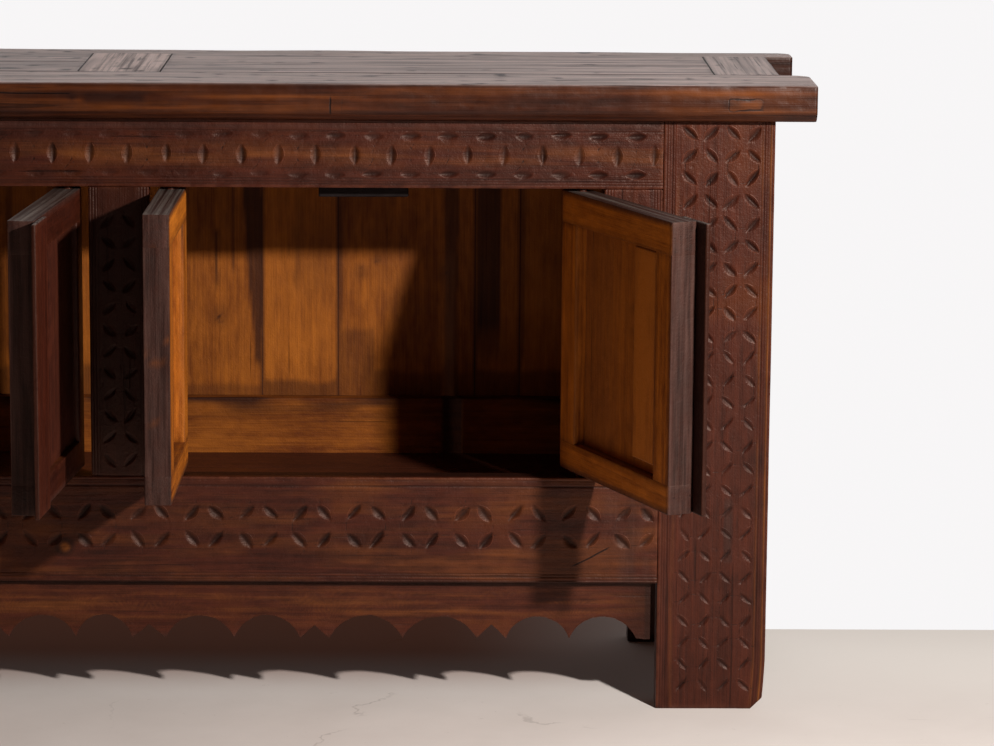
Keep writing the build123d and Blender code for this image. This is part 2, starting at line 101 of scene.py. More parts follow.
class Value:
    """A number socket that can be used in a Python expression."""

    def __init__(self, tree, socket):
        self.tree = tree
        self.socket = socket

    def math(self, operation, *others, clamp=False):
        """Add a Math node that starts from this value."""
        node = self.tree.node("ShaderNodeMath", {"operation": operation, "use_clamp": clamp},
                              dict(enumerate((self, *others))))
        return Value(self.tree, node.outputs[0])

    def __add__(self, other):
        return self.math("ADD", other)

    __radd__ = __add__

    def __sub__(self, other):
        return self.math("SUBTRACT", other)

    def __rsub__(self, other):
        return (self * -1.0).math("ADD", other)

    def __mul__(self, other):
        return self.math("MULTIPLY", other)

    __rmul__ = __mul__

    def __truediv__(self, other):
        return self.math("DIVIDE", other)

    def __abs__(self):
        return self.math("ABSOLUTE")

    def clamped(self):
        """Keep the value between 0 and 1."""
        return self.math("ADD", 0.0, clamp=True)

    def least(self, other):
        """The smaller of two values."""
        return self.math("MINIMUM", other)

    def most(self, other):
        """The larger of two values."""
        return self.math("MAXIMUM", other)

    def above(self, limit):
        """1 where the value is over the limit."""
        return self.math("GREATER_THAN", limit)

    def below(self, limit):
        """1 where the value is under the limit."""
        return self.math("LESS_THAN", limit)

    def step(self, start, end):
        """Rise smoothly from 0 at start to 1 at end."""
        node = self.tree.node("ShaderNodeMapRange", {"interpolation_type": "SMOOTHSTEP"},
                              {"Value": self, "From Min": start, "From Max": end})
        return Value(self.tree, node.outputs[0])


class Nodes:
    """A node tree with one method that adds any node."""

    def __init__(self, tree):
        self.tree = tree

    def node(self, kind, settings=None, sockets=None):
        """Add a node: its settings first, then the values or links of its sockets."""
        node = self.tree.nodes.new(kind)
        for name, value in (settings or {}).items():
            setattr(node, name, value)
        for name, value in (sockets or {}).items():
            socket = node.inputs[name]
            if isinstance(value, Value):
                self.tree.links.new(value.socket, socket)
            elif isinstance(value, bpy.types.NodeSocket):
                self.tree.links.new(value, socket)
            else:
                socket.default_value = value
        return node

    def value(self, kind, settings=None, sockets=None, output=0):
        """Add a node and return one of its outputs as a number."""
        return Value(self, self.node(kind, settings, sockets).outputs[output])

    def vector(self, x, y, z):
        """Join three numbers."""
        return self.node("ShaderNodeCombineXYZ", None, {0: x, 1: y, 2: z}).outputs[0]

    def split(self, socket):
        """Split a vector into three numbers."""
        node = self.node("ShaderNodeSeparateXYZ", None, {0: socket})
        return [Value(self, output) for output in node.outputs]

    def noise(self, vector, scale, detail=2.0, roughness=0.5):
        """Smooth random values from 0 to 1."""
        return self.value("ShaderNodeTexNoise", None,
                          {"Vector": vector, "Scale": scale, "Detail": detail, "Roughness": roughness})

    def mix(self, factor, first, second):
        """Mix two colours."""
        node = self.node("ShaderNodeMix", {"data_type": "RGBA"}, {0: factor, 6: first, 7: second})
        return node.outputs[2]


# ---------------------------------------------------------------- random values

def smooth_noise(points, scale, seed):
    """Smooth random values from -1 to 1 at an array of points."""
    place = np.asarray(points, float) * scale + seed * 7.31
    cell = np.floor(place).astype(np.int64)
    part = place - cell
    part = part * part * (3 - 2 * part)

    def corner(i, j, k):
        """Random value from -1 to 1 at one corner of the cell of each point."""
        value = (cell[:, 0] + i) * 73856093 ^ (cell[:, 1] + j) * 19349663 ^ (cell[:, 2] + k) * 83492791
        value = (value ^ seed * 2654435) & 0x7FFFFFFF
        value = (value ^ (value >> 13)) * 1274126177 & 0x7FFFFFFF
        value = (value ^ (value >> 16)) * 668265263 & 0x7FFFFFFF
        return value / 0x3FFFFFFF - 1.0

    total = 0.0
    for i in (0, 1):
        for j in (0, 1):
            for k in (0, 1):
                weight = (part[:, 0] if i else 1 - part[:, 0])
                weight = weight * (part[:, 1] if j else 1 - part[:, 1])
                weight = weight * (part[:, 2] if k else 1 - part[:, 2])
                total = total + weight * corner(i, j, k)
    return total


def board_seed(name):
    """A fixed number for a board, from its name."""
    return sum((place + 1) * ord(letter) for place, letter in enumerate(name)) % 9973


# ------------------------------------------------------------------ board meshes

FINE_CELL = 0.00075
EDGE_CELL = 0.0006


def grid_lines(low, high, step, radius, bands=(0.0, 0.0)):
    """Positions of grid lines across a board, closer on its eased edges and along two bands."""
    arc = [radius * (1 - math.tan(math.radians(angle))) for angle in (45, 30, 15)]
    edge = min(EDGE_CELL, (high - low - 2 * radius) * 0.2)
    first = low + radius + edge
    last = high - radius - edge
    band_end = max(first, low + max(radius, bands[0]))
    band_start = min(high - max(radius, bands[1]), last)
    runs = ((first, band_end, FINE_CELL), (band_end, band_start, step), (band_start, last, FINE_CELL))
    lines = [low + radius, first]
    for start, end, spacing in runs:
        if end - start > 1e-6:
            lines += list(np.linspace(start, end, max(1, round((end - start) / spacing)) + 1)[1:])
    lines.append(high - radius)
    return np.concatenate([[low + gap for gap in arc], lines, [high - gap for gap in reversed(arc)]])


def box_shell(xs, ys, zs, open_back=False):
    """Grid over the six faces of a box, as corners, quads and many-sided faces."""
    keep = np.zeros((len(xs), len(ys), len(zs)), bool)
    keep[[0, -1]] = True
    keep[:, :, [0, -1]] = True
    keep[:, 0] = True
    keep[:, -1] |= not open_back
    index = np.full(keep.shape, -1)
    index[keep] = np.arange(keep.sum())
    corners = np.stack(np.meshgrid(xs, ys, zs, indexing="ij"), -1)[keep]
    sides = [(index[0], True), (index[-1], False), (index[:, 0], False),
             (index[:, :, 0], True), (index[:, :, -1], False)]
    if not open_back:
        sides.append((index[:, -1], True))
    quads = []
    for plane, flip in sides:
        quad = np.stack([plane[:-1, :-1], plane[1:, :-1], plane[1:, 1:], plane[:-1, 1:]], -1).reshape(-1, 4)
        quads.append(quad[:, ::-1] if flip else quad)
    faces = []
    if open_back:
        back = index[:, -1]
        loop = [*back[0, :-1], *back[:-1, -1], *back[-1, :0:-1], *back[:0:-1, 0]]
        faces.append([int(i) for i in loop])
    return corners, np.concatenate(quads), faces


def loft(sections):
    """Closed skin over outlines of equal length, each an array of points in space."""
    count = len(sections[0])
    corners = np.concatenate(sections)
    here = np.arange(count)
    then = np.roll(here, -1)
    starts = [row * count for row in range(len(sections))]
    quads = [np.stack([here + start, then + start, then + after, here + after], -1)
             for start, after in zip(starts, starts[1:])]
    faces = [[int(i) for i in here[::-1]], [int(i) for i in here + starts[-1]]]
    return corners, np.concatenate(quads), faces


def inset(outline, distance):
    """Move a closed outline of plan points inwards; the outline runs anticlockwise."""
    ahead = np.roll(outline, -1, 0) - outline
    behind = outline - np.roll(outline, 1, 0)
    ahead /= np.maximum(np.linalg.norm(ahead, axis=1, keepdims=True), 1e-9)
    behind /= np.maximum(np.linalg.norm(behind, axis=1, keepdims=True), 1e-9)
    along = ahead + behind
    along /= np.maximum(np.linalg.norm(along, axis=1, keepdims=True), 1e-9)
    return outline + np.stack([-along[:, 1], along[:, 0]], -1) * distance


def rounded_outline(low, high, radii, step):
    """Anticlockwise outline of a rectangle with its own radius at each corner.

    The radii are those of the corners at low-low, high-low, high-high and low-high.
    """
    corners = ((low[0], low[1]), (high[0], low[1]), (high[0], high[1]), (low[0], high[1]))
    inward = ((1, 1), (-1, 1), (-1, -1), (1, -1))
    arcs = []
    for place, (corner, side, radius) in enumerate(zip(corners, inward, radii)):
        center = np.array(corner) + np.array(side) * radius
        start = math.pi + place * math.pi / 2
        count = max(3, round(radius / 0.0012))
        angles = np.linspace(start, start + math.pi / 2, count)
        arcs.append(center + radius * np.stack([np.cos(angles), np.sin(angles)], -1))
    points = []
    for place, arc in enumerate(arcs):
        points.extend(arc)
        end = arcs[(place + 1) % 4][0]
        gap = np.linalg.norm(end - arc[-1])
        count = round(gap / step)
        points.extend(arc[-1] + (end - arc[-1]) * k / count for k in range(1, count))
    return np.array(points)


def prism(outline, low, high, ease, step):
    """Sections of an upright board with a plan outline and eased ends."""
    ends = [ease * (1 - math.cos(math.radians(angle))) for angle in (90, 60, 30, 0)]
    rises = [ease * (1 - math.sin(math.radians(angle))) for angle in (90, 60, 30, 0)]
    count = max(1, round((high - low - 2 * ease) / step))
    levels = [(low + rise, end) for rise, end in zip(rises, ends)]
    levels += [(z, 0.0) for z in np.linspace(low + ease, high - ease, count + 1)[1:-1]]
    levels += [(high - rise, end) for rise, end in zip(reversed(rises), reversed(ends))]
    sections = []
    for z, distance in levels:
        plan = inset(outline, distance) if distance else outline
        sections.append(np.column_stack([plan, np.full(len(plan), z)]))
    return sections


SHARP_ANGLE = math.radians(50)
WORN_REACH = 0.009


class Board:
    """One board: where it is, which way its grain runs, and how worn it is."""

    def __init__(self, name, low, high, along, pith=None):
        self.name = name
        self.low = np.array(low, float)
        self.high = np.array(high, float)
        self.along = along
        self.seed = board_seed(name)
        self.random = np.random.default_rng(self.seed)
        self.pith = pith
        self.tone = self.random.uniform(-1, 1)
        self.layers = {}

    def wear(self, corners, depth, radius):
        """Ease the edges of a box, more where they are worn, and lower its faces a little."""
        size = self.high - self.low
        rough = smooth_noise(corners, 22, self.seed + 3) * 0.5
        rough += smooth_noise(corners, 70, self.seed + 5) * 0.25
        ease = np.clip(radius * (1 + 0.8 * rough), radius * 0.45, min(size) * 0.45)[:, None]
        inner = np.clip(corners, self.low + ease, self.high - ease)
        away = corners - inner
        away /= np.maximum(np.linalg.norm(away, axis=1, keepdims=True), 1e-9)
        dip = 0.5 + 0.35 * smooth_noise(corners, 9, self.seed)
        dip += 0.15 * smooth_noise(corners, 45, self.seed + 1)
        return inner + away * (ease - depth * dip[:, None])

    def nearness(self, corners, reach):
        """How near each corner is to an edge of the box, from 0 to 1."""
        gaps = np.sort(np.minimum(corners - self.low, self.high - corners), axis=1)
        return near(gaps[:, 1], reach)

    def grain(self, corners):
        """Place of each corner in the log: along it, and across from its heart."""
        across = [axis for axis in range(3) if axis != self.along]
        size = self.high - self.low
        wide, thin = sorted(across, key=lambda axis: -size[axis])
        middle = (self.high + self.low) / 2
        shift = self.random.uniform(-0.35, 0.35) * size[wide]
        depth = self.random.uniform(0.03, 0.09) * self.random.choice([-1, 1])
        if self.pith:
            shift, depth = self.pith
        place = np.empty_like(corners)
        place[:, 0] = corners[:, self.along] + self.seed * 0.731
        place[:, 1] = corners[:, wide] - middle[wide] - shift
        place[:, 2] = corners[:, thin] - middle[thin] - depth
        return place

    def mesh(self, corners, quads, faces, moved=None):
        """Make the mesh, with the layers that the woods read."""
        data = bpy.data.meshes.new(self.name)
        shown = corners if moved is None else moved
        data.from_pydata(shown.tolist(), [], quads.tolist() + faces)
        layers = {"tone": np.full(len(corners), self.tone), "worn": self.nearness(corners, WORN_REACH)}
        layers.update(self.layers)
        for layer, values in layers.items():
            attribute = data.attributes.new(layer, "FLOAT", "POINT")
            attribute.data.foreach_set("value", np.asarray(values, np.float32).ravel())
        attribute = data.attributes.new("grain", "FLOAT_VECTOR", "POINT")
        attribute.data.foreach_set("vector", self.grain(corners).astype(np.float32).ravel())
        data.polygons.foreach_set("use_smooth", np.ones(len(data.polygons), bool))
        data.update()
        data.set_sharp_from_angle(angle=SHARP_ANGLE)
        return data


FACE_DIP = 0.0006


def box_board(name, low, high, along, step=0.012, radius=0.0022, layers=None):
    """Make the mesh of a plain worn board."""
    board = Board(name, low, high, along)
    lines = [grid_lines(board.low[axis], board.high[axis], step, radius) for axis in range(3)]
    corners, quads, faces = box_shell(*lines)
    if layers:
        board.layers = layers(corners, board)
    return board.mesh(corners, quads, faces, board.wear(corners, FACE_DIP, radius))


def place(name, data, slot, node, body=CARCASS, turn=None):
    """Link a finished mesh to the scene as a piece that rides on a body and stands for a node."""
    if turn is not None:
        data.transform(turn)
    data.materials.clear()
    data.materials.append(slot_wood(slot))
    piece = bpy.data.objects.new(name, data)
    bpy.context.scene.collection.objects.link(piece)
    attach(piece, body)
    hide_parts(node)


def joined(name, meshes):
    """Join board meshes of one piece into one mesh, with their layers."""
    objects = []
    for data in meshes:
        piece = bpy.data.objects.new(name, data)
        bpy.context.scene.collection.objects.link(piece)
        objects.append(piece)
    with bpy.context.temp_override(active_object=objects[0], selected_editable_objects=objects):
        bpy.ops.object.join()
    data = objects[0].data
    bpy.data.objects.remove(objects[0])
    return data


# ------------------------------------------------------------------------- woods

MARKS = ("tone", "worn", "cut", "raw", "gray", "crack", "cracked", "dark", "scribe", "rim")
FULL_TURN = 6.2832


class Wood:
    """Node maths of one wood, from the layers of its boards and the numbers of its look."""

    def __init__(self, tree, look):
        self.tree = tree
        self.look = look
        self.along, self.across, self.deep = tree.split(self.layer("grain", "Vector"))
        self.mark = {name: Value(tree, self.layer(name, "Fac")) for name in MARKS}
        self.room = tree.node("ShaderNodeTexCoord").outputs["Object"]
        self.ripple = self.grain_noise(9.0, 30.0, 2.0)
        self.fibre = self.grain_noise(10.0, 620.0, 2.0)
        self.streak = self.grain_noise(2.2, look["bands"], 4.0, 0.65)
        self.split = self.grain_noise(4.0, 170.0, 1.0).step(look["splits"], look["splits"] + 0.05)
        self.blotch = tree.noise(self.room, 6.5, 4.0, 0.6)
        self.fine = tree.noise(self.room, 60.0, 3.0, 0.6)
        self.knot_gap = self.knots()
        self.late = self.late_growth()
        self.line = self.lines()
        # A line just outside the outline of each chip: a slight bump, and a painted highlight.
        self.raised = (1 - abs(self.mark["rim"] - 0.0010) / 0.0007).clamped() * self.fine.step(0.36, 0.58)

    def layer(self, name, output):
        """Read one layer of the board."""
        return self.tree.node("ShaderNodeAttribute", {"attribute_name": name}).outputs[output]

    def grain_noise(self, length, width, detail, roughness=0.5):
        """Random values that run along the grain."""
        place = self.tree.vector(self.along * length, self.across * width, self.deep * width)
        return self.tree.noise(place, 1.0, detail, roughness)

    def knots(self):
        """Distance to the nearest knot."""
        spacing = self.look["knots"]
        space = self.tree.vector(self.along * spacing, self.across * spacing * 2.2, self.deep * 2.0)
        knot = self.tree.node("ShaderNodeTexVoronoi", {"voronoi_dimensions": "3D"},
                              {"Vector": space, "Scale": 1.0})
        return Value(self.tree, knot.outputs["Distance"])

    def late_growth(self):
        """Dark part of each ring round the heart, drawn aside by the knots."""
        sway = self.grain_noise(1.6, 7.0, 3.0)
        pull = 1 - self.knot_gap.step(0.02, 0.3)
        radius = (self.across * self.across + self.deep * self.deep).math("SQRT")
        place = radius + (sway - 0.5) * 0.05 + (self.ripple - 0.5) * 0.004 + pull * 0.02
        ring = (place * (FULL_TURN / self.look["ring"])).math("SINE") * 0.5 + 0.5
        return ring.math("POWER", 2.2)

    def lines(self):
        """Cracks, joints and scribed circles."""
        crack = 1 - abs(self.mark["crack"] + (self.ripple - 0.5) * 0.006).step(0.0004, 0.0016)
        broken = self.tree.noise(self.room, 45.0, 2.0).step(0.36, 0.56)
        gap = self.mark["scribe"]
        scribed = gap.below(0.009) * gap.above(0.0000001) * (1 - gap.step(0.0002, 0.0008)) * broken
        return (crack * self.mark["cracked"] + scribed * self.look["scribes"]).clamped()

    def figure(self):
        """Spots, rings, streaks, fibres and blotches together, from 0 to 1."""
        look = self.look
        spots = self.grain_noise(30.0, 120.0, 3.0, 0.6)
        figure = (spots - 0.5) * look["mottle"] + self.late * look["rings"]
        figure = figure + (self.streak - 0.5) * look["streaks"] + (self.fibre - 0.5) * look["fibres"]
        figure = figure + (self.blotch - 0.5) * look["blotches"] + self.mark["tone"] * look["tones"]
        return (figure + 0.46).clamped()

    def clean(self):
        """Colour of the stained and the bare wood, with knots and rubbed edges."""
        tree, look = self.tree, self.look
        figure = self.figure()
        stain = tree.mix(figure, look["stain_dark"], look["stain_light"])
        stain = tree.mix((self.blotch.step(0.5, 0.72) * 0.7).clamped(), stain, look["stain_warm"])
        bare = tree.mix(figure, look["bare_dark"], look["bare_light"])
        color = tree.mix(self.mark["raw"].clamped(), stain, bare)
        core = 1 - self.knot_gap.step(0.03, 0.085)
        color = tree.mix((core * look["knot_strength"]).clamped(), color, look["knot_color"])
        rubbed = self.mark["worn"].math("POWER", 1.5) * self.fine.step(0.35, 0.62) * look["rubs"]
        return tree.mix(rubbed.clamped(), color, look["rubbed"])

    def weathered(self, color):
        """Turn the colour gray where the wood is weathered, and paler where it faces up: dusty, and on the top
        also a painted sheen.
        """
        tree, look = self.tree, self.look
        x, y, z = tree.split(self.room)
        upright = tree.noise(tree.vector(x * 150.0, y * 150.0, z * 7.0), 1.0, 3.0, 0.6)
        facing_up = tree.split(tree.node("ShaderNodeNewGeometry").outputs["Normal"])[2].step(0.4, 0.9)
        lengthwise = facing_up.most(look["gray_along"])
        streaks = (self.streak * lengthwise + upright * (1 - lengthwise)).step(*look["gray_range"])
        # Up-facing places take the paler colour: dusty, and on the top a painted sheen.
        silver = tree.mix(streaks, look["gray_dark"], tree.mix(facing_up, look["gray_light"], look["dust"]))
        amount = self.mark["gray"] * (0.72 + (self.streak - 0.5) * 0.9 + (self.fine - 0.5) * 0.5)
        return tree.mix(amount.clamped(), color, silver)

    def dirt_shade_and_highlights(self, color):
        """Darken the cuts, splits, dark marks and lines, and paint a reddish highlight round each chip. The cuts
        and dark marks are grime, dark wood, stains and joints, and in places painted shade.
        """
        tree, look = self.tree, self.look
        # The cut layer darkens the chips and reeds with grime, and is painted shade on the lapping strips, the
        # apron, the inner floor's front edge and the front rail.
        dirt = self.mark["cut"] * look["cut_dirt"] * (0.6 + self.fine * 0.7) + self.split * look["split_dirt"]
        color = tree.mix(dirt.clamped(), color, look["dirt"])
        # Painted highlight: a reddish line round each chip.
        color = tree.mix(self.raised * self.blotch.step(0.38, 0.6) * look["rims"], color, look["rim_color"])
        # The dark layer is dark wood, stains and joints, and in places painted shade, all drawn in the heart
        # colour.
        color = tree.mix((self.mark["dark"] * (0.7 + self.streak * 0.6)).clamped(), color, look["heart"])
        return tree.mix(self.line, color, look["dirt"])

    def relief(self):
        """Height of the fine relief, in millimetres."""
        look = self.look
        grit = self.tree.noise(self.room, 420.0, 2.0, 0.6)
        height = self.fibre * look["fibre_relief"] + self.late * look["ring_relief"]
        height = height + grit * look["grit_relief"] + self.fine * look["dent_relief"] + self.raised * 0.25
        return height - self.split * look["split_relief"] - self.line * 0.15

    def roughness(self):
        """Roughness, higher where the wood is bare, gray or cut."""
        rough = self.look["rough"] + (self.fine - 0.5) * 0.25 + (self.streak - 0.5) * 0.12
        return (rough + self.mark["raw"] * 0.12 + self.mark["gray"] * 0.15 + self.mark["cut"] * 0.1).clamped()


def blank_material(name):
    """Make a material with an empty node tree."""
    material = bpy.data.materials.new(name)
    material.use_nodes = True
    material.node_tree.nodes.clear()
    return material, Nodes(material.node_tree)


def wood(name, look):
    """Make one wood of the cabinet: heart rings, fibres, blotches, knots, wear and dirt."""
    material, tree = blank_material(name)
    made = Wood(tree, look)
    bump = tree.node("ShaderNodeBump", None, {"Strength": 1.0, "Distance": 0.001, "Height": made.relief()})
    shader = tree.node("ShaderNodeBsdfPrincipled", None, {
        "Base Color": made.dirt_shade_and_highlights(made.weathered(made.clean())), "Roughness": made.roughness(),
        "Normal": bump.outputs[0], "Specular IOR Level": look["gloss"], "Specular Tint": look["gloss_tint"]})
    tree.node("ShaderNodeOutputMaterial", None, {"Surface": shader.outputs[0]})
    return material


def stained_look():
    """Red-brown stained wood of the carved front."""
    finish = bpy.context.scene.cabinet_finish
    return {
        "stain_dark": (*finish.stain_dark, 1.0), "stain_light": (*finish.stain_light, 1.0),
        "stain_warm": tint(76, 35, 13), "bare_dark": tint(84, 42, 16), "bare_light": tint(150, 88, 36),
        "ring": 0.008, "rings": 0.15, "streaks": 0.5, "bands": 130.0, "fibres": 0.7, "mottle": 0.9,
        # heart is the colour of the dark layer: dark wood and stains, and painted shade in places.
        "blotches": 0.9, "tones": 0.08, "splits": 0.72, "heart": tint(34, 13, 7),
        "knots": 1.6, "knot_strength": 0.7, "knot_color": tint(28, 12, 8),
        # The reddish line round each chip is a painted highlight.
        "rubs": 0.55, "rubbed": tint(92, 47, 30), "rims": 0.42, "rim_color": tint(122, 66, 46),
        "gray_along": 0.1, "gray_range": (0.34, 0.66), "gray_dark": tint(26, 17, 16),
        "gray_light": tint(66, 46, 41), "dust": tint(100, 90, 84),
        "dirt": tint(15, 6, 6), "cut_dirt": 0.8, "split_dirt": 0.55, "scribes": 0.75,
        "rough": 0.42, "gloss": 0.24, "gloss_tint": (1.0, 0.74, 0.64, 1.0),
        "fibre_relief": 0.3, "ring_relief": 0.12, "grit_relief": 0.4, "dent_relief": 0.9, "split_relief": 0.4,
    }


def inner_look():
    """Bare aged wood of the inside."""
    finish = bpy.context.scene.cabinet_finish
    return dict(
        stained_look(), bare_dark=(*finish.bare_dark, 1.0), bare_light=(*finish.bare_light, 1.0),
        ring=0.02, rings=0.12, streaks=0.65, bands=120.0, mottle=0.8, fibres=0.6, blotches=1.3, tones=0.2,
        heart=tint(44, 18, 9), knots=2.6, knot_strength=0.6, knot_color=tint(54, 22, 9), rubs=0.2,
        rough=0.55, gloss=0.25, split_dirt=0.4, cut_dirt=0.9)


def top_look():
    """Waxed wood of the table top, weathered gray; its pale gray and its paler up-facing colour are partly a
    painted sheen.
    """
    return dict(
        stained_look(), stain_dark=tint(30, 12, 7), stain_light=tint(66, 30, 15), stain_warm=tint(68, 31, 9),
        bare_dark=tint(54, 22, 6), bare_light=tint(102, 51, 13), ring=0.009, rings=0.35, streaks=1.0,
        blotches=0.8, splits=0.66, gray_along=1.0, gray_range=(0.28, 0.56), gray_dark=tint(92, 68, 62),
        # The pale gray and up-facing colours are weathered wood, and partly a painted sheen.
        gray_light=tint(168, 148, 142), dust=tint(238, 214, 208), rubs=0.3, rubbed=tint(92, 48, 28),
        rough=0.36, gloss=0.2, gloss_tint=(1.0, 0.92, 0.88, 1.0), grit_relief=0.1, dent_relief=0.5)


def door_look():
    """Wood of the doors, stained outside and bare inside."""
    return dict(
        stained_look(), stain_dark=tint(30, 11, 7), stain_light=tint(70, 28, 16), stain_warm=tint(60, 25, 11),
        bare_dark=tint(102, 47, 9), bare_light=tint(194, 112, 33), ring=0.012, rings=0.2, streaks=0.9,
        bands=160.0, blotches=0.6, tones=0.12, gray_along=0.0, dust=tint(112, 104, 98), rubs=0.35)


def stop_look():
    """Blackened wood of the door stops."""
    return dict(
        stained_look(), stain_dark=tint(10, 8, 9), stain_light=tint(22, 18, 20), stain_warm=tint(20, 15, 14),
        rubbed=tint(30, 25, 24), rough=0.6, gloss=0.1)


LOOKS = {"stained_wood": stained_look, "inner_wood": inner_look, "top_wood": top_look,
         "door_wood": door_look, "stop_wood": stop_look}


def slot_wood(slot):
    """The worn wood of one material slot, made when it is first asked for."""
    name = f"worn_{slot}"
    return bpy.data.materials.get(name) or wood(name, LOOKS[slot]())


# ----------------------------------------------------------------- carving nodes

def shape_group(name, numbers, reshapes):
    """Start a node group with number inputs and a wood; it may reshape a given mesh."""
    group = bpy.data.node_groups.new(name, "GeometryNodeTree")
    face = group.interface
    if reshapes:
        face.new_socket("Shape", in_out="INPUT", socket_type="NodeSocketGeometry")
    for label, value in numbers.items():
        face.new_socket(label, in_out="INPUT", socket_type="NodeSocketFloat").default_value = value
    face.new_socket("Wood", in_out="INPUT", socket_type="NodeSocketMaterial")
    face.new_socket("Shape", in_out="OUTPUT", socket_type="NodeSocketGeometry")
    tree = Nodes(group)
    start = tree.node("NodeGroupInput")
    return tree, start, {label: Value(tree, start.outputs[label]) for label in numbers}


def end_group(tree, shape, layers, wood_socket):
    """Store layers on the shape, make it real and give it its wood."""
    for name, kind, value in layers:
        stored = tree.node("GeometryNodeStoreNamedAttribute", {"data_type": kind, "domain": "POINT"}, {
            "Geometry": shape, "Name": name, "Value": value})
        shape = stored.outputs[0]
    real = tree.node("GeometryNodeRealizeInstances", None, {0: shape})
    wooden = tree.node("GeometryNodeSetMaterial", None, {
        "Geometry": real.outputs[0], "Material": wood_socket})
    tree.node("NodeGroupOutput", None, {"Shape": wooden.outputs[0]})


def plane_distance(x, z):
    """Distance in the plane of a board."""
    return (x * x + z * z).math("SQRT")


CARVING_INPUTS = {
    "First Chip X": 0.0, "First Chip Z": 0.0, "Pitch X": 0.028, "Pitch Z": 0.029,
    "Columns": 4.0, "Rows": 26.0, "Phase": 0.0,
    "Chip Length": 0.024, "Chip Width": 0.009, "Chip Depth": 0.0035,
    "Scribe Depth": 0.0005, "Reed Depth": 0.0009, "Unevenness": 0.0008, "Seed": 1.0,
    "Fade": 0.0, "Fade Height": 0.55, "Gather": 0.0,
}
CHIP_SHIFT = 0.0026
DIAGONAL_LEAN = 0.83
QUARTER_TURN = 1.5708
EYE_RADIUS = 0.0042
SMALL_EYE_RADIUS = 0.0052


